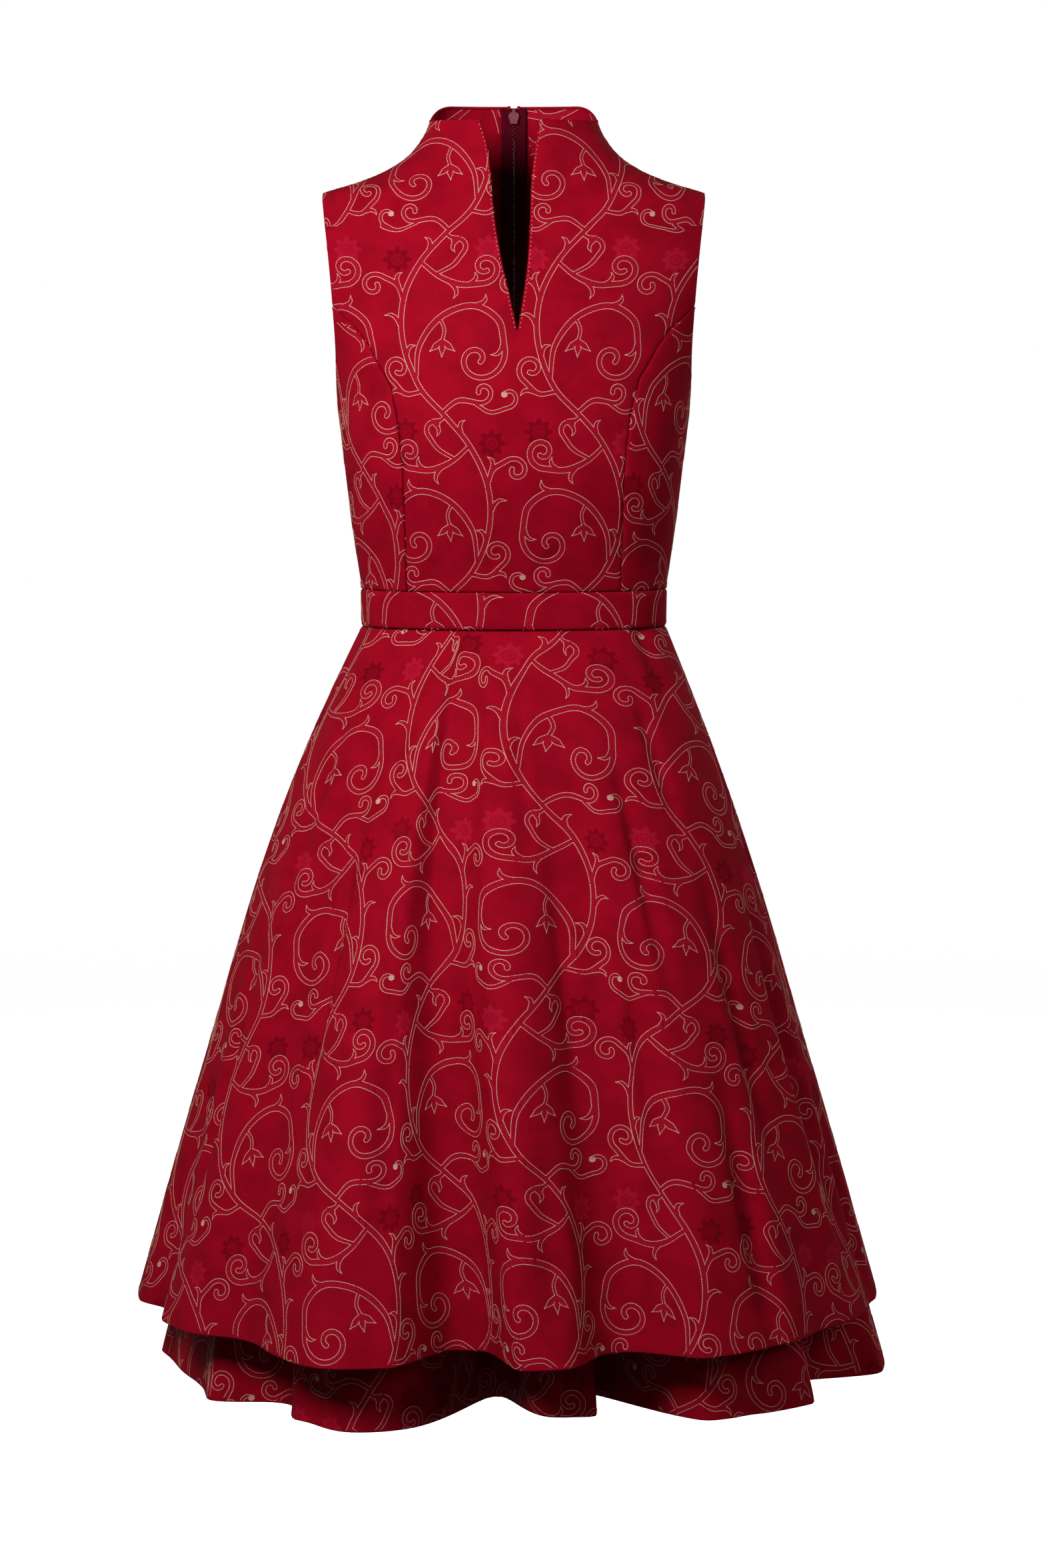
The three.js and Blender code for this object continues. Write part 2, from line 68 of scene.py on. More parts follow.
def edge_of(node, axis, end):
    """A node's lowest (0) or highest (1) coordinate along an axis, in millimetres."""
    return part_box(node)[end][axis] / MM


Z = 2
WAIST_TOP = round(edge_of("bodice_front", Z, 0))
WAIST_BOTTOM = round(edge_of("skirt_upper_front", Z, 1))
UPPER_HEM = round(edge_of("skirt_upper_front", Z, 0))
LOWER_HEM = round(edge_of("skirt_lower_front", Z, 0))
ZIP_END = round(edge_of("zip_tape_left", Z, 0))
COLLAR_TOP = 62.0
UNDERARM = -183.0
SEAM_NOTCH = -102.0
SLIT_BOTTOM = -124.0
FLOOR = -1380.0
# How far the under layer keeps from the upper one, at the waist and at the hem
LAYER_GAP_TOP, LAYER_GAP_HEM = 3.2, 9.0
THICKNESS = 0.7


def mix(a, b, t):
    return a + (b - a) * t


def smooth(t):
    u = min(1.0, max(0.0, t))
    return u * u * (3 - 2 * u)


def hump(share):
    """1 in the middle of a fold or crease, falling softly to 0 at its edges, where the share is 1."""
    return math.cos(math.pi / 2 * share) ** 2


class Table:
    """Rows of named columns, and a smooth line through each column that never overshoots."""

    def __init__(self, columns, rows):
        self.columns = columns
        self.rows = [dict(zip(columns, row)) for row in sorted(rows)]
        self.at = [row[columns[0]] for row in self.rows]
        self.lines = {name: self.line(name) for name in columns[1:]}

    def line(self, name):
        y = [row[name] for row in self.rows]
        slope = [(y[i + 1] - y[i]) / (self.at[i + 1] - self.at[i]) for i in range(len(y) - 1)]
        tangent = [slope[0]]
        for before, after in zip(slope, slope[1:]):
            tangent.append(2 * before * after / (before + after) if before * after > 0 else 0)
        return y, tangent + [slope[-1]]

    @lru_cache(maxsize=None)
    def __call__(self, name, value):
        x, (y, tangent) = self.at, self.lines[name]
        if value <= x[0]:
            return y[0] + tangent[0] * (value - x[0])
        if value >= x[-1]:
            return y[-1] + tangent[-1] * (value - x[-1])
        i = bisect_right(x, value) - 1
        step = x[i + 1] - x[i]
        t = (value - x[i]) / step
        return (
            y[i] * (1 + 2 * t) * (1 - t) ** 2
            + tangent[i] * step * t * (1 - t) ** 2
            + y[i + 1] * t * t * (3 - 2 * t)
            + tangent[i + 1] * step * t * t * (t - 1)
        )


# Level sections of the bodice: how far it reaches to the side, front and back, and how square it is
BODICE = Table(("z", "side", "front", "back", "power"), [
    (COLLAR_TOP, 74, 49.5, 53, 2.0), (50, 79, 51, 54, 2.0), (41, 85.5, 53, 56, 2.0),
    (33, 93, 55, 58.5, 1.95), (25, 104.5, 58, 62, 1.9), (17, 120, 61, 66, 1.8),
    (9, 141, 64, 70, 1.75), (3, 161, 66, 73.5, 1.75), (0, 170.5, 67, 75, 1.75),
    (-20, 168.5, 75, 83, 1.85), (-49, 165, 86, 91, 2.0), (-98, 160.5, 102, 98, 2.2),
    (-147, 158, 113, 99, 2.3), (UNDERARM, 158, 118, 97, 2.35), (-212, 155, 120, 94, 2.4),
    (-247, 151, 118, 90, 2.4), (-297, 145, 106, 85, 2.3), (-337, 139, 92, 82, 2.2),
    (WAIST_TOP, 137, 88, 81, 2.2), (WAIST_BOTTOM, 136.5, 86, 81, 2.2),
])

# Half the distance between the two princess seams, up to the armhole
PRINCESS = Table(("z", "half"), [
    (WAIST_TOP, 95), (-297, 96), (-241, 98), (-209, 101), (-190, 104),
    (-169, 110), (-155, 117), (-139, 125.5), (-123, 137), (SEAM_NOTCH, 159.4),
])

# The V slit: half its width and how far its middle lies off centre
SLIT = Table(("z", "half", "shift"), [
    (SLIT_BOTTOM, 0, 3.5), (-92, 6, 2.6), (-61, 11.5, 1), (-25, 15.4, -1), (8, 17.6, -2),
    (38, 21, -2), (COLLAR_TOP, 26.8, -3),
])
ARMHOLE_REACH = {"front": 50, "back": 54}

# Level sections of the skirt's layers at their ridges, and how far they hang to the side
SKIRT_COLUMNS = ("z", "side", "front", "back", "power", "swing")
UPPER_SKIRT = Table(SKIRT_COLUMNS, [
    (WAIST_BOTTOM, 136.5, 86, 81, 2.2, 0), (-423, 153.5, 106, 104, 2.1, -1.5),
    (-495, 184, 142, 148, 2.05, -4), (-567, 211, 176, 184, 2.0, -5.5),
    (-640, 235, 206, 217, 2.0, -6), (-738, 263.5, 244, 252, 2.0, -6),
    (-861, 300, 286, 289, 2.0, -6), (UPPER_HEM, 337, 322, 325, 2.0, -6),
])
LOWER_SKIRT = Table(SKIRT_COLUMNS, [
    (WAIST_BOTTOM, 133.3, 82.8, 77.8, 2.2, 0), (-423, 149, 101, 98, 2.1, -1.5),
    (-495, 178, 132, 138, 2.05, -4), (-640, 228, 184, 198, 2.0, -6),
    (-861, 293, 238, 262, 2.0, -6), (LOWER_HEM, 350, 266, 300, 2.0, -6),
])

# Folds sink between ridges: where each lies at the hem and at the waist, in degrees from the
# front's middle, half its width, its depth at the hem (below 0 a ridge), how far down it starts
# and how flat its floor is
FOLD_COLUMNS = ("hem", "top", "half", "depth", "start", "flat")
UPPER_FOLDS = Table(FOLD_COLUMNS, [
    (-155, -158, 12, 46, 0.1, 1.3), (-131, -130, 10, 32, 0.05, 1.1),
    (-107, -108, 11, 50, 0.12, 1.4), (-73, -76, 8, 18, 0.4, 1.0),
    (-47, -53, 11, 20, 0.05, 1.1), (-27, -37, 13, -24, 0.1, 1.0),
    (-7.5, -24, 10, 72, 0.02, 1.8), (20.5, 17, 12, 50, 0.03, 1.3),
    (58, 60, 10, 8, 0.3, 1.0), (105, 104, 10, 38, 0.08, 1.2),
    (128, 128, 11, 56, 0.04, 1.5), (154, 156, 10, 40, 0.15, 1.1),
])
LOWER_FOLDS = Table(FOLD_COLUMNS, [
    (-153, -156, 12, 58, 0.1, 1.3), (-128, -130, 10, 46, 0.1, 1.1),
    (-103, -106, 9, 52, 0.15, 1.2), (-79, -80, 27, 47, 0.3, 1.5),
    (-49, -54, 11, 46, 0.2, 1.2), (-27, -36, 12, -22, 0.2, 1.0),
    (-4, -21, 14, 78, 0.1, 1.2), (9, 2, 30, 44, 0.1, 2.2), (28, 21, 9, 92, 0.2, 1.1),
    (69, 69, 12, 62, 0.2, 1.2), (103, 104, 9, 42, 0.1, 1.2),
    (128, 129, 11, 64, 0.1, 1.4), (155, 157, 10, 50, 0.15, 1.1),
])
# Small tucks under the waistband: half the width, the depth at the seam and the share they run down
TUCKS = Table(("hem", "half", "depth", "length"), [(-78, 8, 3, 0.22), (63, 7, 4.5, 0.16)])
SEAMS = (-180, -90, 90, 180)


def armhole_depth(z, half):
    middle = UNDERARM / 2
    up = (z - middle) / middle
    return 0 if abs(up) >= 1 else ARMHOLE_REACH[half] * math.sqrt(1 - up * up)


class Ring:
    """A level section of the bodice's front or back: a squared-off ellipse."""

    def __init__(self, z, half, stand=0.0, opened=True):
        self.depth = BODICE(half, z) + stand
        self.power = BODICE("power", z)
        self.cut = armhole_depth(z, half) if opened else 0
        open_share = 1 - (self.cut / self.depth) ** self.power
        self.side = (BODICE("side", z) + stand) / open_share ** (1 / self.power)

    def point(self, angle):
        s, c = math.sin(angle), abs(math.cos(angle))
        x = self.side * math.copysign(abs(s) ** (2 / self.power), s)
        return x, self.depth * c ** (2 / self.power)

    def angle_at_x(self, x):
        share = min(1.0, abs(x) / self.side)
        return math.copysign(math.asin(share ** (self.power / 2)), x)

    def angle_at_depth(self, y):
        return math.acos(min(1.0, y / self.depth) ** (self.power / 2))


# Soft creases in the bodice: front or back, from (x, z) to (x, z), half the width and the depth
CREASES = (
    ("front", (-74, -336), (-38, -292), 10, 1.5), ("front", (14, -340), (47, -306), 9, 1.2),
    ("front", (-24, -340), (-10, -304), 8, 0.9), ("front", (84, -338), (62, -280), 9, 1.4),
    ("front", (-124, -334), (-101, -272), 10, 1.7), ("front", (121, -336), (127, -262), 10, 1.5),
    ("front", (-150, -196), (-86, -158), 13, 1.8), ("front", (148, -190), (90, -146), 12, 1.5),
    ("front", (-116, -252), (-52, -226), 14, 1.1), ("front", (108, -262), (48, -238), 13, 1.0),
    ("front", (-96, -104), (-48, -84), 15, 1.1), ("front", (100, -92), (56, -58), 15, 1.2),
    ("front", (-78, -26), (-48, 34), 13, 2.4), ("front", (66, -30), (44, 32), 13, 2.6),
    ("front", (62, 2), (76, 30), 9, 1.2), ("front", (-12, -176), (16, -150), 16, -0.9),
    ("front", (-60, -200), (-30, -196), 20, -1.0), ("front", (58, -206), (84, -200), 18, -0.9),
    ("back", (-120, -330), (-84, -270), 10, 1.7), ("back", (116, -334), (74, -288), 9, 1.4),
    ("back", (-58, -338), (-30, -296), 9, 1.2), ("back", (50, -338), (24, -284), 9, 1.3),
    ("back", (-148, -192), (-92, -170), 12, 1.5), ("back", (146, -188), (84, -150), 13, 1.7),
    ("back", (-70, -40), (-30, 12), 12, 1.2), ("back", (72, -30), (38, 22), 12, 1.1),
    ("back", (-96, -120), (-40, -104), 15, 1.0), ("back", (104, -240), (44, -216), 13, 1.1),
    ("back", (-110, -250), (-60, -236), 12, 1.2),
)
# Puckers beside the princess seams: how far they reach from the seam, and their depth
PUCKER_REACH, PUCKER_DEPTH = 8, 0.32
# Shallow ripples in the skirt: the turn in degrees at the hem, half the width, how far down the
# middle lies and half the length as shares of the fall, and the depth
RIPPLES = (
    (-170, 5, 0.62, 0.34, 8), (-143, 4.5, 0.80, 0.26, 9), (-119, 5, 0.55, 0.38, 6),
    (-96, 6, 0.72, 0.32, 8), (-86, 4, 0.32, 0.24, 5), (-66, 4.5, 0.68, 0.36, 13),
    (-59, 4, 0.26, 0.20, 4.5), (-38, 4, 0.50, 0.36, 10.5), (-31, 3.5, 0.20, 0.17, 3),
    (-18, 4, 0.72, 0.34, 10.5), (-13, 3.5, 0.27, 0.22, 4.5), (-3, 4, 0.46, 0.30, -5),
    (6, 5, 0.60, 0.34, -6.5), (9, 4, 0.84, 0.24, 10.5), (11, 3.5, 0.22, 0.18, 4),
    (17, 3.5, 0.50, 0.26, 5), (31, 4.5, 0.66, 0.38, 14.5), (38, 4, 0.34, 0.26, 6.5),
    (45, 4, 0.82, 0.26, 11.5), (51, 4, 0.19, 0.16, 4), (54, 4, 0.58, 0.30, 8),
    (70, 4.5, 0.66, 0.36, 11.5), (78, 4, 0.86, 0.22, 10.5), (84, 4.5, 0.36, 0.26, 6),
    (96, 5, 0.70, 0.32, 8), (117, 4.5, 0.60, 0.34, 7), (123, 4, 0.26, 0.21, 3.5),
    (141, 5, 0.78, 0.28, 9), (166, 4.5, 0.64, 0.36, 8), (172, 4, 0.28, 0.22, 3.5),
)


@lru_cache(maxsize=None)
def crease_lines(half):
    """Each crease of one half: its start, its direction, its length, half its width and its depth."""
    lines = []
    for place, (x, z), (end_x, end_z), width, depth in CREASES:
        if place == half:
            length = math.hypot(end_x - x, end_z - z)
            lines.append((x, z, (end_x - x) / length, (end_z - z) / length, length, width, depth))
    return lines


def crease_depth(half, x, z):
    """How far the bodice's cloth sinks at a place: creases, and puckers beside the princess seams."""
    total = 0
    for start_x, start_z, right, up, length, width, depth in crease_lines(half):
        dx, dz = x - start_x, z - start_z
        off = abs(dx * up - dz * right) / width
        along = abs((dx * right + dz * up) / length - 0.5) / 0.75
        if off < 1 and along < 1:
            total += depth * hump(off) * hump(along)
    if half == "front" and z < SEAM_NOTCH:
        off = (abs(x) - PRINCESS("half", z)) / PUCKER_REACH
        if abs(off) < 2:
            wander = 2.2 * math.sin(z / 23) + (x > 0) * 2
            total += PUCKER_DEPTH * math.exp(-off * off) * math.sin(z / 2.7 + wander)
    return total * smooth((z - WAIST_TOP) / 12)


def collar_lift(z, back):
    """How far the collar rises: least in front, where back is -1, and most behind, where it is 1."""
    rise = 2.2 * (1 + back) + 13.6 * smooth((back + 0.1) / 0.75)
    return rise * smooth((z - 15) / (COLLAR_TOP - 15))


def bodice_point(half, angle, z):
    ring = Ring(z, half)
    x, depth = ring.point(angle)
    sunk = 1 - crease_depth(half, x, z) / math.hypot(x, depth)
    y = -depth if half == "front" else depth
    return Vector((x * sunk, y * sunk, z + collar_lift(z, y / ring.depth)))


def front_face(angle, z):
    return bodice_point("front", angle, z)


def back_face(angle, z):
    return bodice_point("back", -angle, z)


def band_face(angle, z):
    half = "front" if math.cos(angle) > 0 else "back"
    x, depth = Ring(z, half, stand=0.8, opened=False).point(angle)
    return Vector((x, -depth if half == "front" else depth, z))


class Layer:
    """One of the skirt's two layers: its sections, its folds and the lines its cloth hangs in."""

    def __init__(self, sections, folds, hem):
        self.sections, self.folds, self.hem = sections, folds, hem
        lines = [(fold["hem"], fold["top"]) for fold in folds.rows] + [(seam, seam) for seam in SEAMS]
        self.lines = sorted(lines)

    def fall(self, z):
        return max(0.0, (WAIST_BOTTOM - z) / (WAIST_BOTTOM - self.hem))

    def line_angle(self, angle, fall, back=False):
        """From a line's place at the hem to its place higher up, or back."""
        here = [mix(top, hem, fall) for hem, top in self.lines]
        at_hem = [hem for hem, top in self.lines]
        start, end = (here, at_hem) if back else (at_hem, here)
        i = min(max(bisect_right(start, angle), 1), len(start) - 1)
        share = (angle - start[i - 1]) / (start[i] - start[i - 1])
        return mix(end[i - 1], end[i], share)

    def fold_depth(self, hem_angle, fall):
        total = 0
        for fold in self.folds.rows:
            off = abs(hem_angle - fold["hem"]) / fold["half"]
            if off < 1 and fall > fold["start"]:
                grown = ((fall - fold["start"]) / (1 - fold["start"])) ** 1.15
                total += fold["depth"] * grown * hump(off ** fold["flat"])
        for tuck in TUCKS.rows:
            off = abs(hem_angle - tuck["hem"]) / tuck["half"]
            if off < 1 and fall < tuck["length"]:
                left = 1 - smooth(fall / tuck["length"])
                total += tuck["depth"] * left * hump(off)
        for turn, half, middle, length, depth in RIPPLES:
            off, along = abs(hem_angle - turn) / half, abs(fall - middle) / length
            if off < 1 and along < 1:
                total += depth * hump(off) * hump(along)
        return total

    def reach(self, angle, z):
        turn = math.radians(angle)
        half = "front" if math.cos(turn) > 0 else "back"
        power = self.sections("power", z)
        across = abs(math.sin(turn) / self.sections("side", z)) ** power
        through = abs(math.cos(turn) / self.sections(half, z)) ** power
        fall = self.fall(z)
        hem_angle = self.line_angle(angle, fall, back=True)
        return (across + through) ** (-1 / power) - self.fold_depth(hem_angle, fall)


UPPER = Layer(UPPER_SKIRT, UPPER_FOLDS, UPPER_HEM)
LOWER = Layer(LOWER_SKIRT, LOWER_FOLDS, LOWER_HEM)


def lesser(a, b, rounding):
    """The smaller of two distances, rounded off where they cross."""
    h = max(0.0, rounding - abs(a - b)) / rounding
    return min(a, b) - h * h * rounding / 4


def skirt_point(layer, line, z):
    angle = layer.line_angle(math.degrees(line), layer.fall(z))
    distance = UPPER.reach(angle, z)
    swing = UPPER_SKIRT("swing", z)
    if layer is LOWER:
        fall = min(1.0, UPPER.fall(z))
        gap = mix(LAYER_GAP_TOP, LAYER_GAP_HEM, fall ** 0.8)
        distance = lesser(LOWER.reach(angle, z), distance - gap, mix(0.5, 12, fall))
    turn = math.radians(angle)
    return Vector((swing + distance * math.sin(turn), -distance * math.cos(turn), z))


def upper_face(line, z):
    return skirt_point(UPPER, line, z)


def lower_face(line, z):
    return skirt_point(LOWER, line, z)


# The lines of a piece's edge, from the open cloth outwards: how far in from the edge and how deep.
# The fourth line is the edge itself, and the rest lie inside.
EDGE_LINE = 3
SEAMED = ((6, 0), (3, 0.1), (1.2, 0.45), (0, 1.3), (0.5, 1.6), (2, 1.7), (6, 1.8))
TURNED = ((1.5, 0), (0.7, 0.04), (0.25, 0.25), (0, 0.75), (0.35, 1.35), (1.5, 1.55), (9, 1.6))
HEMMED = ((1.5, 0), (0.7, 0.04), (0.25, 0.25), (0, 0.75), (0.35, 1.35), (1.5, 1.55), (28, 1.7))
JOINED = ((6, 0), (4, 0), (2, 0), (0, 0), (0, 0), (0, 0), (0, 0))
ROLLED = TURNED[:-1] + ((2.2, 1.5),)
BARE = ((0, 0),)


def between_edges(first, second, share):
    return tuple((mix(a, c, share), mix(b, d, share)) for (a, b), (c, d) in zip(first, second))


def outward(face, angle, z):
    around = face(angle + 1e-3, z) - face(angle - 1e-3, z)
    up = face(angle, z + 0.2) - face(angle, z - 0.2)
    return around.cross(up).normalized()


def row_lengths(face, z, start, end, samples=48):
    """Angles along a level line of a surface, and how far along it each lies."""
    angles = [mix(start, end, (1 - math.cos(math.pi * i / samples)) / 2) for i in range(samples + 1)]
    points = [face(angle, z) for angle in angles]
    lengths = [0.0]
    for last, point in zip(points, points[1:]):
        lengths.append(lengths[-1] + (point - last).length)
    return angles, lengths


def angle_after(angles, lengths, wanted):
    i = min(max(bisect_right(lengths, wanted), 1), len(lengths) - 1)
    share = (wanted - lengths[i - 1]) / max(lengths[i] - lengths[i - 1], 1e-9)
    return mix(angles[i - 1], angles[i], share)


def even_columns(face, edges, count, left, right):
    """Columns at even distances along each level line, between two edges finished as left(z), right(z)."""

    def columns(z):
        angles, lengths = row_lengths(face, z, *edges(z))
        width = lengths[-1]
        near, far = left(z), right(z)
        squeeze = min(1.0, 0.8 * width / (near[0][0] + far[0][0] + 0.001))
        near, far = ([(inset * squeeze, depth * squeeze) for inset, depth in edge] for edge in (near, far))
        start, end = near[0][0], width - far[0][0]
        places = [(inset, depth) for inset, depth in reversed(near)]
        places += [(mix(start, end, i / count), 0.0) for i in range(1, count)]
        places += [(width - inset, depth) for inset, depth in far]
        return [(angle_after(angles, lengths, place), depth) for place, depth in places]

    return columns


def hem_columns(face, hem, edges, spacing):
    """Columns that run down a skirt's folds and stand evenly along its hem, between two seams."""
    start, end = edges
    angles, lengths = row_lengths(face, hem, start, end, samples=400)
    count = round(lengths[-1] / spacing)
    inner = [angle_after(angles, lengths, lengths[-1] * i / count) for i in range(2, count - 1)]

    def columns(z):
        near, far = face(start, z).xy.length, face(end, z).xy.length
        places = [(start + inset / near, depth) for inset, depth in reversed(SEAMED)]
        places += [(angle, 0.0) for angle in inner]
        return places + [(end - inset / far, depth) for inset, depth in SEAMED]

    return columns


def level_rows(low, high, spacing, bottom, top, extra=()):
    """Rows from a lower edge to an upper one, with their finished edges."""
    start, end = low + bottom[0][0], high - top[0][0]
    count = max(1, round((end - start) / spacing))
    inner = [mix(start, end, i / count) for i in range(1, count)]
    inner = [z for z in inner if all(abs(z - other) > spacing / 3 for other in extra)]
    rows = [(low + inset, depth) for inset, depth in reversed(bottom)]
    return rows + [(z, 0.0) for z in sorted([*inner, *extra])] + [(high - i, depth) for i, depth in top]


class Cloth:
    """A piece of cloth as it is laid: its mesh, and where its points lie on the flat cut, in mm."""

    def __init__(self, name, allowance=0):
        self.name = name
        self.allowance = allowance
        self.bm = bmesh.new()
        self.cut = {}
        self.inside = set()

    def lay(self, face, rows, columns, flat):
        grid = [columns(z) for z, _ in rows]
        wide, high = len(grid[0]), len(rows)
        made = bmesh.ops.create_grid(self.bm, x_segments=wide - 1, y_segments=high - 1, size=0.5)
        verts = sorted(made["verts"], key=lambda v: (round(v.co.y, 6), round(v.co.x, 6)))
        turned = len(SEAMED) - 1 - EDGE_LINE
        for i, vert in enumerate(verts):
            row, column = divmod(i, wide)
            z, sunk = rows[row]
            angle, depth = grid[row][column]
            depth += sunk
            point = face(angle, z)
            if depth:
                point = point - outward(face, angle, z) * depth
            vert.co = point * MM
            self.cut[vert] = flat(angle, z, point)
            if not (turned <= row < high - turned and turned <= column < wide - turned):
                self.inside.add(vert)

    def finish(self, join=()):
        """Joins what meets, makes triangles and puts the cut's coordinates on the mesh."""
        if join:
            found = bmesh.ops.find_doubles(self.bm, verts=list(join), dist=0.01 * MM)["targetmap"]
            for gone, kept in found.items():
                if gone not in self.inside:
                    self.inside.discard(kept)
            bmesh.ops.weld_verts(self.bm, targetmap=found)
            self.cut = {vert: place for vert, place in self.cut.items() if vert.is_valid}
            self.inside = {vert for vert in self.inside if vert.is_valid}
        bmesh.ops.triangulate(self.bm, faces=self.bm.faces[:], quad_method="SHORT_EDGE")
        self.bm.normal_update()
        uv = self.bm.loops.layers.uv.new("cut")
        for f in self.bm.faces:
            f.smooth = True
            for loop in f.loops:
                loop[uv].uv = Vector(self.cut[loop.vert]) * MM
        return self

    def piece(self, surface, node, held="stretched", hangs_from=(), slot="jacquard"):
        """Makes the piece that stands for a node, a shell of the laid cloth, and hides the node's own part.
        """
        mesh = bpy.data.meshes.new(self.name)
        self.bm.to_mesh(mesh)
        mesh.materials.append(surface)
        piece = bpy.data.objects.new(self.name, mesh)
        bpy.context.scene.collection.objects.link(piece)
        shell = piece.modifiers.new("cloth", "SOLIDIFY")
        shell.thickness = THICKNESS * MM
        shell.offset = -1
        xs, ys = zip(*self.cut.values())
        width, length = (max(xs) - min(xs)) * MM, (max(ys) - min(ys) + self.allowance) * MM
        area = min(sum(f.calc_area() for f in self.bm.faces), width * length)
        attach(piece, "dress")
        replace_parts(piece, node)
        return piece


ZIP_PARTING = 0.3
# Above this height a bodice piece's cut runs straight up
CHEST = -30
# Distances between the rows of the laid cloth, and between the skirt's columns at the hem
BODICE_ROW, BAND_ROW, SKIRT_ROW, SKIRT_COLUMN = 4.5, 4, 12, 7
# How many columns each half of the front, each side front and each back has
FRONT_COLUMNS, SIDE_COLUMNS, BACK_COLUMNS = 24, 12, 26
# Close rows where the armhole's edge turns fast: at its bottom and at the shoulder
ARMHOLE_FOOT = (UNDERARM, UNDERARM + 0.5, -181, -178.5, -175, -170)
ARMHOLE_ROWS = (*ARMHOLE_FOOT, -9, -4, -1.5, -0.4, 0)
# The waistband: its two seam allowances together, its length for each degree round the waist,
# and how far up the scrolls' repeat its cut starts
BAND_ALLOWANCE, BAND_DEGREE, BAND_ON_REPEAT = 16, 1.97, 60


def bodice_cut(half, shift=(0, 0)):
    """Where a bodice piece's points lie on its flat cut: how far round and how far up the body.

    The shift says where on the scrolls' repeat the piece is cut.
    """
    levels = [WAIST_TOP - 5 + 3 * i for i in range(160)]
    rise = [0.0]
    for low, high in zip(levels, levels[1:]):
        rise.append(rise[-1] + math.hypot(high - low, 0.8 * (BODICE(half, high) - BODICE(half, low))))

    def height(z):
        i = min(max(bisect_right(levels, z), 1), len(levels) - 1)
        return mix(rise[i - 1], rise[i], (z - levels[i - 1]) / (levels[i] - levels[i - 1]))

    def depth_at(x, z):
        ring = Ring(z, half, opened=False)
        share = min(1.0, abs(x) / ring.side)
        return ring.depth * (1 - share ** ring.power) ** (1 / ring.power)

    def path(points):
        return sum(math.hypot(b[0] - a[0], b[1] - a[1]) for a, b in zip(points, points[1:]))

    def around(x, y, z):
        ring = Ring(z, half, opened=False)
        across = (abs(x) / ring.side) ** (ring.power / 2)
        through = (abs(y) / ring.depth) ** (ring.power / 2)
        end = math.atan2(across, through)
        return math.copysign(path([ring.point(mix(0, end, i / 20)) for i in range(21)]), x)

    def up(x, z):
        if z <= CHEST:
            return height(z)
        zs = [mix(CHEST, z, i / 6) for i in range(7)]
        return height(CHEST) + path([(at, depth_at(x, at)) for at in zs])

    def flat(angle, z, point):
        y = point.y if z < CHEST else depth_at(point.x, CHEST)
        return around(point.x, y, min(z, CHEST)) + shift[0], up(point.x, z) + shift[1]

    return flat


def seamed(z):
    return SEAMED


def bare(z):
    return BARE


def armhole_from(bottom):
    """How an outer edge is finished: sewn below the armhole's bottom, turned in it, sewn above it."""

    def edge(z):
        return between_edges(SEAMED, TURNED, smooth(min(-z, z - bottom) / 3)) if bottom < z < 0 else SEAMED

    return edge


def zip_edge(z):
    return between_edges(TURNED, ROLLED, smooth((z - 34) / 14))


def slit_edge(z):
    return between_edges(JOINED, TURNED, smooth((z - SLIT_BOTTOM) / 2))


def edge_angle(z, half):
    ring = Ring(z, half)
    return ring.angle_at_depth(ring.cut)


def front_seam(z, side):
    if z >= SEAM_NOTCH:
        return side * edge_angle(z, "front")
    return Ring(z, "front").angle_at_x(side * PRINCESS("half", z))


@lru_cache(maxsize=None)
def bodice_front():
    cloth = Cloth("bodice_front_cloth")
    extra = (*ARMHOLE_ROWS, SLIT_BOTTOM, SLIT_BOTTOM + 2, SEAM_NOTCH)
    rows = level_rows(WAIST_TOP, COLLAR_TOP, BODICE_ROW, SEAMED, ROLLED, extra)
    for side in (-1, 1):

        def edges(z, side=side):
            slit = max(z, SLIT_BOTTOM)
            middle = SLIT("shift", slit) * smooth((z - WAIST_TOP) / (SLIT_BOTTOM - WAIST_TOP))
            near = Ring(z, "front").angle_at_x(middle + side * SLIT("half", slit))
            return (near, front_seam(z, side)) if side > 0 else (front_seam(z, side), near)

        finished = (slit_edge, armhole_from(SEAM_NOTCH))[::side]
        columns = even_columns(front_face, edges, FRONT_COLUMNS, *finished)
        cloth.lay(front_face, rows, columns, bodice_cut("front"))
    middle = [v for v in cloth.bm.verts if v.co.z < (SLIT_BOTTOM + 0.1) * MM and abs(v.co.x) < 5 * MM]
    return cloth.finish(middle)


def bodice_side(side, word):
    cloth = Cloth(f"bodice_side_{word}_cloth")
    rows = level_rows(WAIST_TOP, SEAM_NOTCH, BODICE_ROW, SEAMED, BARE, ARMHOLE_FOOT)

    def edges(z):
        seam = Ring(z, "front").angle_at_x(side * PRINCESS("half", z))
        end = side * edge_angle(z, "front")
        return (seam, end) if side > 0 else (end, seam)

    finished = (seamed, armhole_from(UNDERARM))[::side]
    columns = even_columns(front_face, edges, SIDE_COLUMNS, *finished)
    cloth.lay(front_face, rows, columns, bodice_cut("front", (side * 31, 47)))
    return cloth.finish()


def bodice_back(side, word):
    cloth = Cloth(f"bodice_back_{word}_cloth")
    rows = level_rows(WAIST_TOP, COLLAR_TOP, BODICE_ROW, SEAMED, ROLLED, ARMHOLE_ROWS)

    def edges(z):
        middle = Ring(z, "back").angle_at_x(ZIP_PARTING + 3.2 * smooth((z - 52.9) / 4))
        end = edge_angle(z, "back")
        return (-end, -middle) if side > 0 else (middle, end)

    finished = (zip_edge, armhole_from(UNDERARM))[::-side]
    columns = even_columns(back_face, edges, BACK_COLUMNS, *finished)
    cloth.lay(back_face, rows, columns, bodice_cut("back", (side * 12, 20)))
    return cloth.finish()


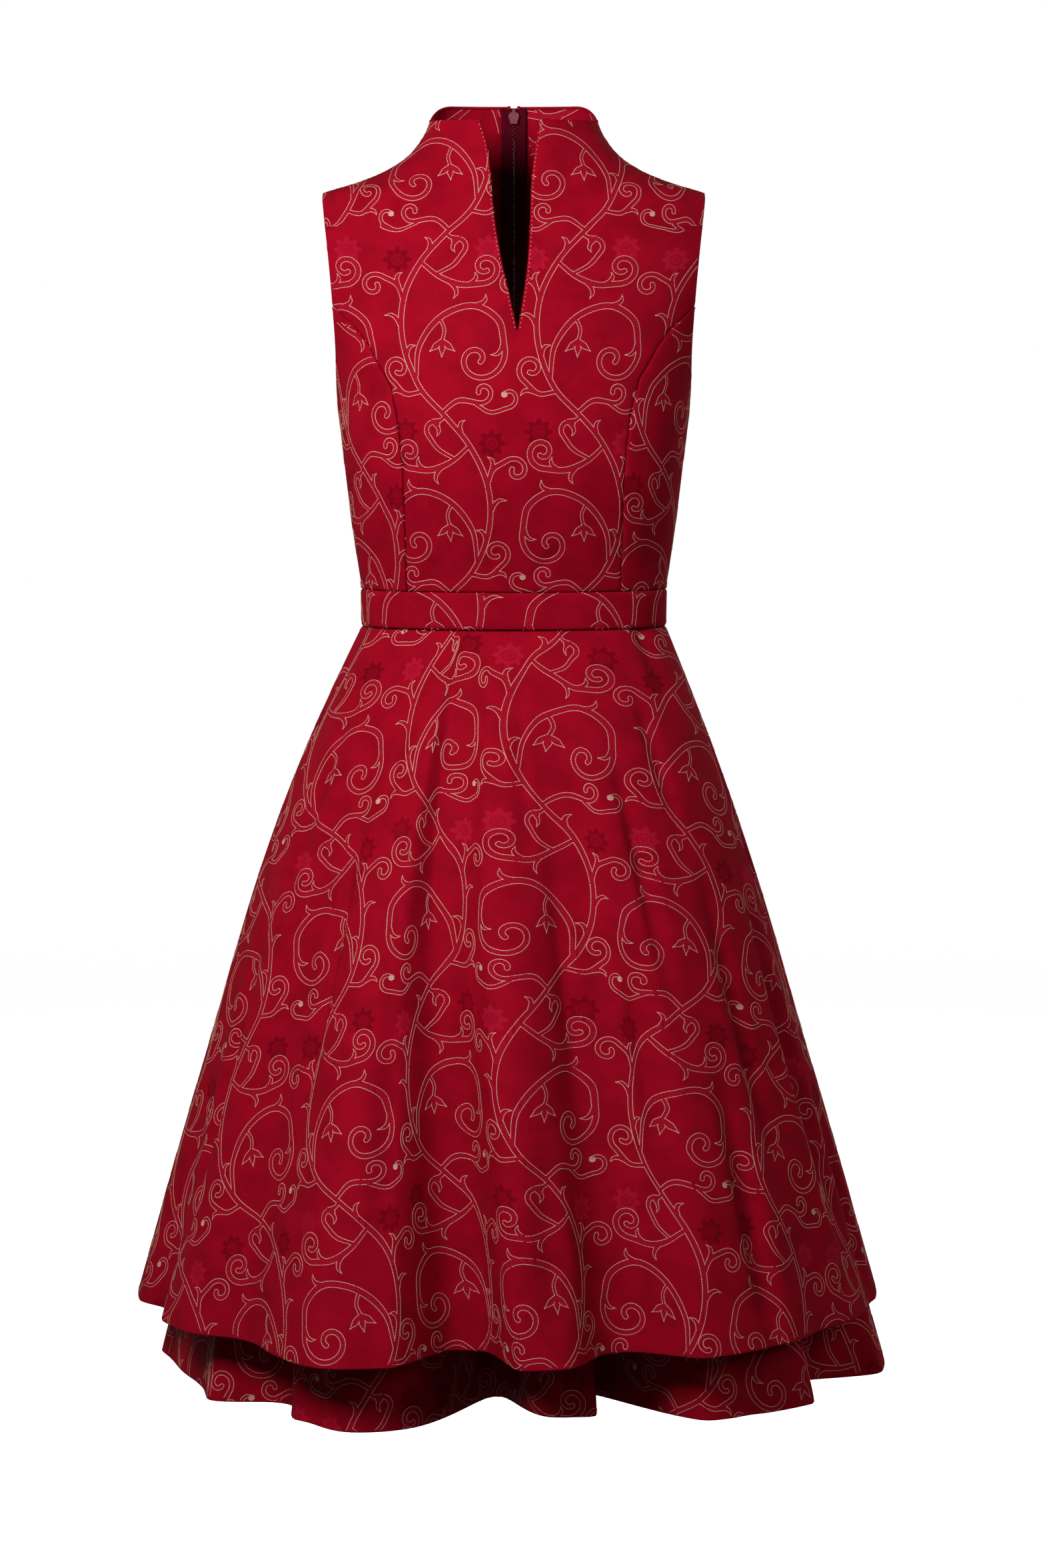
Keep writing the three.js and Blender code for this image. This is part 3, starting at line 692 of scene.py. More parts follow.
def waistband(start, end, count, name):
    cloth = Cloth(f"{name}_cloth", allowance=BAND_ALLOWANCE)
    rows = level_rows(WAIST_BOTTOM, WAIST_TOP, BAND_ROW, SEAMED, SEAMED)
    columns = even_columns(band_face, lambda z: (start, end), count, seamed, seamed)

    def flat(angle, z, point):
        return math.degrees(angle) * BAND_DEGREE, z - WAIST_BOTTOM + BAND_ON_REPEAT

    cloth.lay(band_face, rows, columns, flat)
    return cloth.finish()


def skirt_cut(face, top, hem, start, end, middle):
    """A flared panel's flat cut is a sector: its points' places on it, upright at one line."""
    hem_angles, hem_lengths = row_lengths(face, hem, start, end, samples=400)
    waist = row_lengths(face, top, start, end)[1][-1]
    parts = 24
    levels = [mix(top, hem, i / parts) for i in range(parts + 1)]
    lines = [mix(start, end, (i + 0.5) / 16) for i in range(16)]
    slant = [0.0]
    for high, low in zip(levels, levels[1:]):
        steps = [(face(line, low) - face(line, high)).length for line in lines]
        slant.append(slant[-1] + sum(steps) / len(steps))
    spread = (hem_lengths[-1] - waist) / slant[-1]
    inner_radius = waist / spread
    start_at = hem_lengths[bisect_right(hem_angles, middle) - 1] if middle > start else 0.0

    def flat(line, z, point):
        share = (z - top) / (hem - top) * parts
        i = min(max(int(share), 0), parts - 1)
        radius = inner_radius + mix(slant[i], slant[i + 1], share - i)
        j = min(max(bisect_right(hem_angles, line), 1), len(hem_angles) - 1)
        along = (line - hem_angles[j - 1]) / (hem_angles[j] - hem_angles[j - 1])
        turn = (mix(hem_lengths[j - 1], hem_lengths[j], along) - start_at) / hem_lengths[-1] * spread
        return radius * math.sin(turn), inner_radius - radius * math.cos(turn)

    return flat


def skirt_panel(face, hem, start, end, middle, name):
    cloth = Cloth(f"{name}_cloth")
    rows = level_rows(hem, WAIST_BOTTOM, SKIRT_ROW, HEMMED, SEAMED)
    columns = hem_columns(face, hem, (start, end), SKIRT_COLUMN)
    cloth.lay(face, rows, columns, skirt_cut(face, WAIST_BOTTOM, hem, start, end, middle))
    return cloth.finish()


# The woven scrolls: one cell of the repeat, which stands mirrored in every second row
CELL_WIDTH, CELL_HEIGHT = 118.0, 162.0
VINE_STEP = 1.5
THREAD_WIDTH = 0.64
# How high the raised thread's edges and its crown stand over the cloth
THREAD_FOOT, THREAD_CROWN = 0.04, 0.28
# How high the dotted strips lie over the cloth, and how much more each of them in turn
STRIP_LIFT, LIFT_STEP = 0.09, 0.012
# The side of the squares that sort the scrolls' points by place
SQUARE = 6
# So many points before and after a point count as its own stretch of the vine
OWN_STRETCH = 6
# How far an outline may reach into another vine before it is cut
OVERLAP = 0.25


class Vine:
    """A stroke of the scrolls: points along its middle and half its width at each."""

    def __init__(self, knots, widths, curl=None, before=None, after=None):
        self.points = self.spline(knots, before, after)
        if curl:
            self.curl(*curl)
        last = len(self.points) - 1
        self.half = [self.width(i / last, widths) / 2 for i in range(last + 1)]

    @staticmethod
    def spline(knots, before, after):
        """A centripetal Catmull-Rom line through the knots."""
        ends = [before or 2 * knots[0] - knots[1], after or 2 * knots[-1] - knots[-2]]
        line = [ends[0], *knots, ends[1]]
        points = []
        for a, b, c, d in zip(line, line[1:], line[2:], line[3:]):
            gaps = [max(1e-6, (q - p).length ** 0.5) for p, q in ((a, b), (b, c), (c, d))]
            leave = ((b - a) / gaps[0] - (c - a) / (gaps[0] + gaps[1]) + (c - b) / gaps[1]) * gaps[1]
            arrive = ((c - b) / gaps[1] - (d - b) / (gaps[1] + gaps[2]) + (d - c) / gaps[2]) * gaps[1]
            count = max(2, round((c - b).length * 1.1 / VINE_STEP))
            for i in range(count):
                t = i / count
                points.append(
                    b * (2 * t ** 3 - 3 * t * t + 1) + leave * (t ** 3 - 2 * t * t + t)
                    + c * (3 * t * t - 2 * t ** 3) + arrive * (t ** 3 - t * t)
                )
        return points + [line[-2].copy()]

    def curl(self, turn, wide, tight):
        """Winds the end into a spiral, through so many degrees and from one radius to another."""
        ahead = self.points[-1] - self.points[-2]
        heading = math.atan2(ahead.y, ahead.x) + math.copysign(VINE_STEP / 2 / wide, turn)
        done, total = 0.0, math.radians(abs(turn))
        while done < total:
            radius = wide * (tight / wide) ** (done / total)
            step = Vector((math.cos(heading), math.sin(heading))) * VINE_STEP
            self.points.append(self.points[-1] + step)
            heading += math.copysign(VINE_STEP / radius, turn)
            done += VINE_STEP / radius

    @staticmethod
    def width(share, widths):
        at = share * (len(widths) - 1)
        i = min(int(at), len(widths) - 2)
        return mix(widths[i], widths[i + 1], smooth(at - i))

    def frame_at(self, share):
        i = min(int(share * (len(self.points) - 1)), len(self.points) - 2)
        return self.points[i], (self.points[i + 1] - self.points[i]).normalized()

    def across(self, i):
        """The direction to the left of the vine at one of its points."""
        before, after = self.points[max(0, i - 1)], self.points[min(len(self.points) - 1, i + 1)]
        ahead = (after - before).normalized()
        return Vector((-ahead.y, ahead.x))


def marks(*places):
    """Places in the repeat's cell, in millimetres across and up."""
    return [Vector(place) for place in places]


def leaf(vine, share, side, size=10.0):
    """A curved leaf on one side of a vine."""
    root, ahead = vine.frame_at(share)
    out = Vector((-ahead.y, ahead.x)) * side
    shape = ((-0.25, 0), (0.38, 0.3), (0.68, 0.72), (0.62, 1.2))
    knots = [root + (ahead * along + out * across) * size for along, across in shape]
    return Vine(knots, (3.6, 3.8, 3.0, 0.3))


def scroll_cell():
    """The vines of one cell, and the middles of its stitched berries."""
    before, after = marks((39, -24), (35, 188))
    stem = Vine(marks((59, 0), (83, 26), (97, 66), (95, 104), (79, 138), (59, 162)), (4.2, 4.6, 4.6, 4.2),
                before=before, after=after)
    comma = Vine(marks((86, 34), (82, 62), (62, 88), (34, 97), (13, 84), (8, 62)),
                 (3.2, 5.0, 5.4, 4.2, 4.2), curl=(425, 27, 4.2))
    horn = Vine(marks((95, 100), (100, 116), (112, 124)), (3.4, 4.2, 3.6, 4.0), curl=(-330, 12, 3.6))
    left = Vine(marks((80, 137), (65, 124), (46, 116), (27, 117)), (3.2, 5.0, 4.6, 4.2),
                curl=(-400, 15, 3.8))
    small = Vine(marks((66, 126), (52, 134), (43, 146)), (2.6, 3.6, 4.0), curl=(-170, 8, 5.0))
    low = Vine(marks((80, 22), (96, 20), (109, 31)), (3.2, 4.2, 3.6, 4.0), curl=(360, 13, 3.8))
    swag = Vine(marks((62, 4), (48, 14), (30, 12)), (3.2, 4.2, 3.6, 3.8), curl=(-300, 10, 3.4))
    berry = Vine(marks((34, 12), (20, 4), (4, 8)), (2.8, 3.2, 2.8), curl=(-220, 9, 4.0))
    stalk = Vine(marks((64, 86), (60, 76), (62, 66)), (2.4, 2.4))
    vines = [stem, comma, horn, left, small, low, swag, berry, stalk]
    for vine, share, side, size in (
        (comma, 0.42, -1, 10), (comma, 0.62, 1, 11), (horn, 0.25, 1, 9), (stem, 0.5, -1, 12),
        (left, 0.30, 1, 11), (left, 0.44, -1, 9), (low, 0.30, -1, 9), (stem, 0.36, 1, 9),
        (small, 0.97, 1, 9), (small, 0.97, -1, 9), (stem, 0.90, -1, 9),
    ):
        vines.append(leaf(vine, share, side, size))
    for bend, tip in (((57, 62), (51, 57)), ((62, 62), (62.5, 52)), ((67, 62), (73, 57))):
        vines.append(Vine(marks((62, 68), bend, tip), (1.4, 5.2, 0.4)))
    return vines, [berry.points[-1]]


class Scrolls:
    """One cell's strokes with their outlines, cut where they run into one another."""

    def __init__(self):
        self.vines, self.berries = scroll_cell()
        self.near = {}
        for row in (-1, 0, 1):
            for column in (-1, 0, 1):
                for vine in self.vines:
                    self.note(vine, row, column)
        self.outlines = [line for vine in self.vines for line in self.outline(vine)]

    def note(self, vine, row, column):
        for i, (point, half) in enumerate(zip(vine.points, vine.half)):
            x = CELL_WIDTH - point.x if row else point.x
            spot = Vector((x + column * CELL_WIDTH, point.y + row * CELL_HEIGHT))
            own = vine if not row and not column else None
            key = (int(spot.x // SQUARE), int(spot.y // SQUARE))
            self.near.setdefault(key, []).append((spot, half, own, i))

    def covered(self, point, vine, i):
        """Whether a point of a vine's outline lies within another vine, or an earlier turn of its own."""
        column, row = int(point.x // SQUARE), int(point.y // SQUARE)
        for x in (column - 1, column, column + 1):
            for y in (row - 1, row, row + 1):
                for spot, half, own, j in self.near.get((x, y), ()):
                    beside = own is vine and abs(i - j) < OWN_STRETCH
                    if not beside and (point - spot).length_squared < (half - OVERLAP) ** 2:
                        return True
        return False

    def outline(self, vine):
        """The stretches that show of a line up one side of a vine, round its tip and down the other."""
        last = len(vine.points) - 1
        offsets = [vine.across(i) * vine.half[i] for i in range(last + 1)]
        loop = [(vine.points[i] + offsets[i], i) for i in range(last + 1)]
        tip, out = vine.points[last], offsets[last]
        ahead = Vector((out.y, -out.x))
        for degrees in range(30, 180, 30):
            turn = math.radians(degrees)
            loop.append((tip + out * math.cos(turn) + ahead * math.sin(turn), last))
        loop += [(vine.points[i] - offsets[i], i) for i in range(last, -1, -1)]
        return runs(loop, lambda spot: not self.covered(spot[0], vine, spot[1]), between_spots)


def between_spots(a, b, share):
    return a[0].lerp(b[0], share), b[1]


def runs(line, keep, between):
    """The stretches of a line whose points are kept, each reaching up to where it is cut."""
    kept = [keep(point) for point in line]
    found, run = [], []
    for i, point in enumerate(line):
        if i and kept[i] != kept[i - 1]:
            low, high = (line[i - 1], point) if kept[i - 1] else (point, line[i - 1])
            share, step = 0.0, 0.5
            while step > 0.02:
                share += step if keep(between(low, high, share + step)) else 0
                step /= 2
            run.append(between(low, high, share))
        if kept[i]:
            run.append(point)
        if run and (not kept[i] or i == len(line) - 1):
            found.append(run)
            run = []
    return [run for run in found if len(run) > 1]


class Ground:
    """One face of a laid cloth, found from places on its flat cut: the outer one, or with -1 the inner."""

    def __init__(self, cloth, side=1, where=None):
        self.places, self.spots, self.normals, faces = [], [], [], []
        lift = 0 if side > 0 else THICKNESS
        number = {}
        for face in cloth.bm.faces:
            if any(vert in cloth.inside for vert in face.verts):
                continue
            if where and not all(where(vert.co / MM) for vert in face.verts):
                continue
            for vert in face.verts:
                if vert not in number:
                    number[vert] = len(self.places)
                    self.places.append(Vector((*cloth.cut[vert], 0)))
                    self.spots.append(vert.co / MM - vert.normal * lift)
                    self.normals.append(vert.normal * side)
            faces.append([number[vert] for vert in face.verts])
        self.faces = faces
        self.tree = BVHTree.FromPolygons(self.places, faces)
        xs, ys = [p.x for p in self.places], [p.y for p in self.places]
        self.low, self.high = Vector((min(xs), min(ys))), Vector((max(xs), max(ys)))

    def find(self, place):
        return self.find_at(place.x, place.y)

    @lru_cache(maxsize=None)
    def find_at(self, x, y):
        """The point and the normal at a place on the cut, or None beyond the cloth's edge."""
        hit, _, i, _ = self.tree.ray_cast(Vector((x, y, 1)), Vector((0, 0, -1)))
        if hit is None:
            return None
        flat = [self.places[n] for n in self.faces[i]]
        spot = barycentric_transform(hit, *flat, *[self.spots[n] for n in self.faces[i]])
        normal = barycentric_transform(hit, *flat, *[self.normals[n] for n in self.faces[i]])
        return spot, normal.normalized()


class Stitching:
    """The woven scrolls on one piece of cloth: raised outlines, dotted vines and stitched berries."""

    def __init__(self, name, ground):
        self.name, self.ground = name, ground
        self.threads, self.vines = [], []

    def thread(self, line, width):
        """A raised strip along a line: its two edges and its crown."""
        found = [self.ground.find(place) for place in line]
        shape = ((-1, THREAD_FOOT), (0, THREAD_CROWN), (1, THREAD_FOOT))
        length, columns = 0.0, []
        for i, (spot, normal) in enumerate(found):
            before, after = found[max(0, i - 1)][0], found[min(len(found) - 1, i + 1)][0]
            side = normal.cross(after - before).normalized() * width / 2
            length += (spot - found[i - 1][0]).length if i else 0
            columns.append([
                (spot + side * across + normal * lift, (length, across)) for across, lift in shape
            ])
        self.threads.append(columns)

    def vine(self, edges, lift):
        """A flat strip between the two outlines of a vine."""
        length, columns = 0.0, []
        for i, (right, left) in enumerate(edges):
            if i:
                length += ((right + left) / 2 - (edges[i - 1][0] + edges[i - 1][1]) / 2).length
            half = (left - right).length / 2
            column = []
            for place, across in ((right, -half), (left, half)):
                spot, normal = self.ground.find(place)
                column.append((spot + normal * lift, (length, across)))
            columns.append(column)
        self.vines.append(columns)

    @staticmethod
    def strips(bm, found, index):
        """One long grid for all strips of a kind, opened again between one and the next."""
        columns = [column for strip in found for column in strip]
        if not columns:
            return
        ends, count = set(), 0
        for strip in found:
            count += len(strip)
            ends.add(count - 1)
        wide = len(columns[0])
        made = bmesh.ops.create_grid(bm, x_segments=count - 1, y_segments=wide - 1, size=0.5)["verts"]
        uv = bm.loops.layers.uv.verify()
        place = {}
        for i, vert in enumerate(made):
            row, column = divmod(i, count)
            point, flat = columns[column][row]
            vert.co = point * MM
            place[vert] = column, Vector(flat) * MM
        bridges = []
        for face in {face for vert in made for face in vert.link_faces}:
            face.smooth, face.material_index = True, index
            if min(place[vert][0] for vert in face.verts) in ends:
                bridges.append(face)
            for loop in face.loops:
                loop[uv].uv = place[loop.vert][1]
        bmesh.ops.delete(bm, geom=bridges, context="FACES_ONLY")

    def berry(self, middle, radius=2.6, apart=0.72, width=0.95):
        """A solid knot of thread, as short strips side by side."""
        for i in range(-3, 4):
            half = math.sqrt(radius * radius - (i * apart) ** 2)
            ends = [middle + Vector((i * apart, end * half)) for end in (-1, 0, 1)]
            if all(self.there(end) for end in ends):
                self.thread(ends, width)

    def fill(self, outline_width):
        low, high = self.ground.low, self.ground.high
        columns = range(math.floor(low.x / CELL_WIDTH) - 1, math.ceil(high.x / CELL_WIDTH) + 1)
        rows = range(math.floor(low.y / CELL_HEIGHT) - 1, math.ceil(high.y / CELL_HEIGHT) + 1)
        for row in rows:
            for column in columns:
                self.cell(row, column, outline_width)
        return self

    def there(self, place):
        return self.ground.find(place) is not None

    def whole(self, pair):
        return self.there(pair[0]) and self.there(pair[1])

    def cell(self, row, column, outline_width):
        """One cell of the repeat, mirrored in every second row, as far as there is cloth under it."""

        def put(point):
            x = CELL_WIDTH - point.x if row % 2 else point.x
            return Vector((x + column * CELL_WIDTH, point.y + row * CELL_HEIGHT))

        for line in scrolls().outlines:
            for run in runs([put(point) for point, _ in line], self.there, Vector.lerp):
                self.thread(thinned(run), outline_width)
        for i, vine in enumerate(scrolls().vines):
            offsets = [vine.across(j) * vine.half[j] for j in range(len(vine.points))]
            pairs = [(put(point - off), put(point + off)) for point, off in zip(vine.points, offsets)]
            pairs = pairs[::2] + pairs[-1:] * (len(pairs) % 2 == 0)
            if row % 2:
                pairs = [(left, right) for right, left in pairs]
            for run in runs(pairs, self.whole, between_pairs):
                self.vine(run, STRIP_LIFT + LIFT_STEP * (i % 5))
        for middle in scrolls().berries:
            self.berry(put(middle))

    def piece(self):
        bm = bmesh.new()
        bm.loops.layers.uv.new("stitch")
        self.strips(bm, self.threads, 0)
        self.strips(bm, self.vines, 1)
        mesh = bpy.data.meshes.new(self.name)
        bm.to_mesh(mesh)
        mesh.materials.append(material("raised_thread"))
        mesh.materials.append(material("dotted_vine"))
        return settled(self.name, mesh)


@lru_cache(maxsize=None)
def scrolls():
    return Scrolls()


def between_pairs(a, b, share):
    return a[0].lerp(b[0], share), a[1].lerp(b[1], share)


def settled(name, mesh, body="dress"):
    """Puts a finished mesh in the scene as a piece that rides on a body."""
    piece = bpy.data.objects.new(name, mesh)
    bpy.context.scene.collection.objects.link(piece)
    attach(piece, body)
    return piece


def thinned(line, slack=0.05, longest=4.5):
    """Leaves out the points that a straight stretch can do without."""
    kept = [line[0]]
    for i in range(1, len(line) - 1):
        chord = line[i + 1] - kept[-1]
        off = abs(chord.x * (line[i].y - kept[-1].y) - chord.y * (line[i].x - kept[-1].x))
        if off > slack * chord.length or chord.length > longest:
            kept.append(line[i])
    return kept + [line[-1]]


class Number:
    """A number in a material's node tree: arithmetic with it adds Math nodes."""

    def __init__(self, nodes, socket):
        self.nodes, self.socket = nodes, socket

    def math(self, operation, other=0.0):
        return self.nodes.add("ShaderNodeMath", {"operation": operation}, {0: self, 1: other})

    def __add__(self, other):
        return self.math("ADD", other)

    def __sub__(self, other):
        return self.math("SUBTRACT", other)

    def __mul__(self, other):
        return self.math("MULTIPLY", other)

    def __truediv__(self, other):
        return self.math("DIVIDE", other)

    def __rsub__(self, other):
        return self * -1 + other

    __radd__ = __add__
    __rmul__ = __mul__

    def wave(self, period):
        return (self * (math.tau / period)).math("SINE")


class Nodes:
    """A material and its nodes."""

    def __init__(self, name):
        self.material = bpy.data.materials.new(name)
        self.material.use_nodes = True
        self.tree = self.material.node_tree
        self.shader = self.tree.nodes["Principled BSDF"]

    def put(self, socket, value):
        if isinstance(value, Number):
            self.tree.links.new(value.socket, socket)
        else:
            socket.default_value = value

    def add(self, kind, settings, inputs, output=0):
        node = self.tree.nodes.new(kind)
        for name, value in settings.items():
            setattr(node, name, value)
        for name, value in inputs.items():
            self.put(node.inputs[name], value)
        return Number(self, node.outputs[output])

    def uv(self, name):
        """The mesh's own flat coordinates, in millimetres."""
        place = self.add("ShaderNodeUVMap", {"uv_map": name}, {})
        return [self.add("ShaderNodeSeparateXYZ", {}, {0: place}, axis) / MM for axis in (0, 1)]

    def place(self):
        """The place on the object, in metres."""
        return self.add("ShaderNodeTexCoord", {}, {}, "Object")

    def vector(self, x, y=0.0, z=0.0):
        return self.add("ShaderNodeCombineXYZ", {}, {0: x, 1: y, 2: z})

    def noise(self, vector, scale, detail=2.0):
        return self.add("ShaderNodeTexNoise", {}, {"Vector": vector, "Scale": scale, "Detail": detail})

    def ramp(self, value, low, high, to_low=0.0, to_high=1.0):
        inputs = {"Value": value, "From Min": low, "From Max": high, "To Min": to_low, "To Max": to_high}
        return self.add("ShaderNodeMapRange", {"interpolation_type": "SMOOTHSTEP"}, inputs)

    def blend(self, share, a, b):
        """One colour turning into another."""
        a, b = (value if isinstance(value, Number) else (*value, 1) for value in (a, b))
        return self.add("ShaderNodeMix", {"data_type": "RGBA"}, {0: share, 6: a, 7: b}, 2)

    def bump(self, height, millimetres):
        return self.add("ShaderNodeBump", {}, {"Height": height, "Distance": millimetres * MM})

    def finish(self, colour, roughness, normal, **fixed):
        self.put(self.shader.inputs["Base Color"], colour)
        self.put(self.shader.inputs["Roughness"], roughness)
        self.put(self.shader.inputs["Normal"], normal)
        for name, value in fixed.items():
            self.shader.inputs[name.replace("_", " ")].default_value = value
        return self.material


def times(colour, by):
    return tuple(min(1.0, part * by) for part in colour)


SATEEN = {"Specular_IOR_Level": 0.08, "Specular_Tint": (1, 0.05, 0.09, 1)}
# Where the tonal rosettes stand in a cell of the repeat, their petals and how far these reach
ROSETTES = ((22, 149), (99, 139))
PETALS, PETAL_REACH = 8, 10.2


def jacquard(n, look):
    """Sateen in one deep red, with grainy tonal rosettes woven in between the scrolls."""
    u, v = n.uv("cut")
    flat = n.vector(u, v)
    row, column = (v / CELL_HEIGHT).math("FLOOR"), (u / CELL_WIDTH).math("FLOOR")
    mirrored = row.math("FLOORED_MODULO", 2)
    x, y = u - column * CELL_WIDTH, v - row * CELL_HEIGHT
    x = x + mirrored * (CELL_WIDTH - 2 * x)
    grain = n.ramp(n.noise(flat, 1.1, 1), 0.36, 0.66)
    darker, lighter = 0.0, 0.0
    for i, (middle_x, middle_y) in enumerate(ROSETTES):
        dx, dy = x - middle_x, y - middle_y
        away, turn = (dx * dx + dy * dy).math("SQRT"), dy.math("ARCTAN2", dx)
        petals = (turn * PETALS).math("COSINE")
        bloom = n.ramp(petals * 1.9 + PETAL_REACH - away, -0.7, 0.9)
        veins = n.ramp((petals * -1).math("ABSOLUTE") * 2.4 + away * 0.3, 0.9, 2.2) * n.ramp(away, 2.2, 3.2)
        eye = n.ramp((away - 4.6).math("ABSOLUTE"), 0.5, 1.0)
        mark = bloom * (grain * 0.7 + 0.3) * (veins * 0.55 + 0.45) * (eye * 0.7 + 0.3)
        cell = {"Vector": n.vector(column + i * 7, row)}
        chance = n.add("ShaderNodeTexWhiteNoise", {"noise_dimensions": "2D"}, cell)
        dark = n.ramp(chance, 0.28, 0.42)
        darker, lighter = mark * dark + darker, mark * (1 - dark) + lighter
    cloud = n.noise(flat, 0.035, 3)
    slub = n.noise(n.vector(u * 2.2, v * 0.12), 1.0, 2)
    colour = n.blend(n.ramp(cloud, 0.3, 0.7), times(look.ground, 0.84), times(look.ground, 1.12))
    colour = n.blend(n.ramp(slub, 0.35, 0.75) * 0.35, colour, times(look.ground, 1.35))
    colour = n.blend(lighter * 0.5, colour, times(look.bright, 0.95))
    colour = n.blend(darker * 0.85, colour, times(look.ground, 0.34))
    twill = (u + v * 0.7).wave(look.weave / MM)
    height = twill * 0.5 + n.noise(flat, 2.6, 1) + slub * 0.6 + (lighter - darker) * 0.6
    roughness = n.ramp(cloud + grain * 0.12, 0.3, 0.8, 0.45, 0.60) + darker * 0.15
    return n.finish(colour, roughness, n.bump(height, 0.035), **SATEEN)


# The yarn of the outlines: the length of a stitch and of a turn of its twist
STITCH, TWIST = 2.3, 0.9
# The dots in the vines: the distance between their lines, and between two in a line
DOT_LINE, DOT_STEP = 1.25, 1.75


def thread(n, look):
    """The raised outline: pale twisted yarn, tied down stitch by stitch."""
    along, across = n.uv("stitch")
    wander = n.noise(n.vector(along * 0.2, across), 1.0, 1)
    stitch = (along / STITCH + wander * 0.5).math("FRACT") - 0.5
    tied = n.ramp(stitch.math("ABSOLUTE"), 0.34, 0.49)
    twist = (along + across * 0.55).wave(TWIST)
    tone = n.noise(n.vector(along * 0.05, across * 0.1), 1.0, 2)
    colour = n.blend(n.ramp(tone, 0.3, 0.7), times(look.thread, 0.78), times(look.thread, 1.08))
    # Painted shade: the yarn's colour darkens in the grooves of its twist, where the bump sinks
    colour = n.blend(n.ramp(twist, -1.0, 0.2, 0.3, 0.0), colour, times(look.thread, 0.45))
    colour = n.blend(tied * 0.75, colour, times(look.ground, 0.9))
    normal = n.bump(twist * 0.5 - tied * 1.4, 0.08)
    return n.finish(colour, n.ramp(tone, 0.3, 0.7, 0.42, 0.6), normal, Specular_IOR_Level=0.35)


def vine(n, look):
    """The scrolls' filling: staggered bright dots on a darker weave."""
    along, across = n.uv("stitch")
    line = (across / DOT_LINE + 0.5).math("FLOOR")
    beside = across - line * DOT_LINE
    place = (along / DOT_STEP + line.math("FLOORED_MODULO", 2) * 0.5).math("FRACT") - 0.5
    away = (place * place * DOT_STEP ** 2 + beside * beside).math("SQRT")
    fray = n.noise(n.vector(along, across), 1.6, 1)
    dot = n.ramp(away + fray * 0.3, 0.72, 0.38)
    colour = n.blend(n.ramp(fray, 0.3, 0.7), times(look.ground, 0.78), times(look.ground, 1.1))
    colour = n.blend(dot * 0.9, colour, look.bright)
    height = dot * 1.2 + fray * 0.6 + (across * 0.6 + along).wave(0.6) * 0.3
    return n.finish(colour, n.ramp(fray, 0.2, 0.8, 0.42, 0.6), n.bump(height, 0.07), **SATEEN)


def zip_tape(n, look):
    """Close herringbone ribs, darker than the dress."""
    u, v = n.uv("cut")
    ribs = ((u.math("ABSOLUTE") / 1.9).math("PINGPONG", 1.0) * 1.9 + v).wave(0.85)
    tone = n.noise(n.vector(u * 1.4, v * 0.3), 1.0, 2)
    colour = n.blend(n.ramp(tone, 0.3, 0.7), times(look.tape, 0.75), times(look.tape, 1.3))
    # Painted shade: the tape's colour darkens in the valleys between its ribs, where the bump sinks
    colour = n.blend(n.ramp(ribs, -1.0, 0.0, 0.4, 0.0), colour, times(look.tape, 0.5))
    return n.finish(colour, n.ramp(tone, 0.3, 0.7, 0.62, 0.78), n.bump(ribs + tone, 0.08), **SATEEN)


def zip_coil(n, look):
    """Nylon teeth dyed with the tape."""
    tone = n.noise(n.place(), 900, 2)
    colour = n.blend(n.ramp(tone, 0.3, 0.7), times(look.tape, 0.9), times(look.tape, 1.7))
    return n.finish(colour, n.ramp(tone, 0.3, 0.7, 0.3, 0.45), n.bump(tone, 0.03), Specular_IOR_Level=0.4)


def lacquered_metal(n, look):
    """Satin burgundy lacquer, thinner and paler where it is rubbed."""
    place = n.place()
    tone, rub = n.noise(place, 700, 3), n.noise(place, 240, 4)
    worn = n.ramp(rub, 0.55, 0.72)
    colour = n.blend(n.ramp(tone, 0.3, 0.7), times(look.metal, 0.85), times(look.metal, 1.15))
    colour = n.blend(worn * 0.5, colour, times(look.metal, 1.9))
    roughness = n.ramp(tone, 0.3, 0.7, 0.3, 0.42) - worn * 0.06
    return n.finish(colour, roughness, n.bump(tone + worn * -0.5, 0.02), Metallic=0.35, Coat_Weight=0.4)


def pale_floor(n, look):
    """A white floor that turns into the white behind it."""
    place = n.place()
    x, y = (n.add("ShaderNodeSeparateXYZ", {}, {0: place}, axis) for axis in (0, 1))
    away = (x * x + y * y).math("SQRT")
    far = n.ramp(away, 1.6, 5.5)
    tone = n.noise(place, 3, 2)
    colour = n.blend(n.ramp(tone, 0.3, 0.7), times(look.floor, 0.985), look.floor)
    n.put(n.shader.inputs["Emission Color"], n.blend(far, (0.86, 0.86, 0.86), (1.0, 1.0, 1.0)))
    n.shader.inputs["Emission Strength"].default_value = 1
    return n.finish(n.blend(far, colour, (0, 0, 0)), 0.9, n.bump(tone, 0.1), Specular_IOR_Level=0.0)


FINISHES = {
    "sateen_jacquard": (jacquard, "dress_cloth"), "raised_thread": (thread, "dress_cloth"),
    "dotted_vine": (vine, "dress_cloth"), "ribbed_tape": (zip_tape, "dress_zip"),
    "nylon_teeth": (zip_coil, "dress_zip"), "burgundy_lacquer": (lacquered_metal, "dress_zip"),
    "pale_floor": (pale_floor, "dress_stage"),
}


def material(name):
    """A finish by its name, made when it is first asked for."""
    make, settings = FINISHES[name]
    return bpy.data.materials.get(name) or make(Nodes(name), getattr(bpy.context.scene, settings))


def lay_panel(cloth, node, grounds, held="stretched", hangs_from=()):
    """Makes a laid cloth's piece, and the scrolls woven on each of its faces that shows."""
    cloth.piece(material("sateen_jacquard"), node, held, hangs_from)
    width = bpy.context.scene.dress_cloth.outline / MM
    for word, ground in grounds.items():
        Stitching(f"{node}_scrolls{word}", ground).fill(width).piece()


# The zip: its tapes lie inside the back edges, its teeth run down between them
TAPE_DEPTH = 3.3
TAPE_EDGE, TAPE_WIDTH = 0.02, 11.2
TAPE_ROW, TAPE_COLUMNS = 6, 6
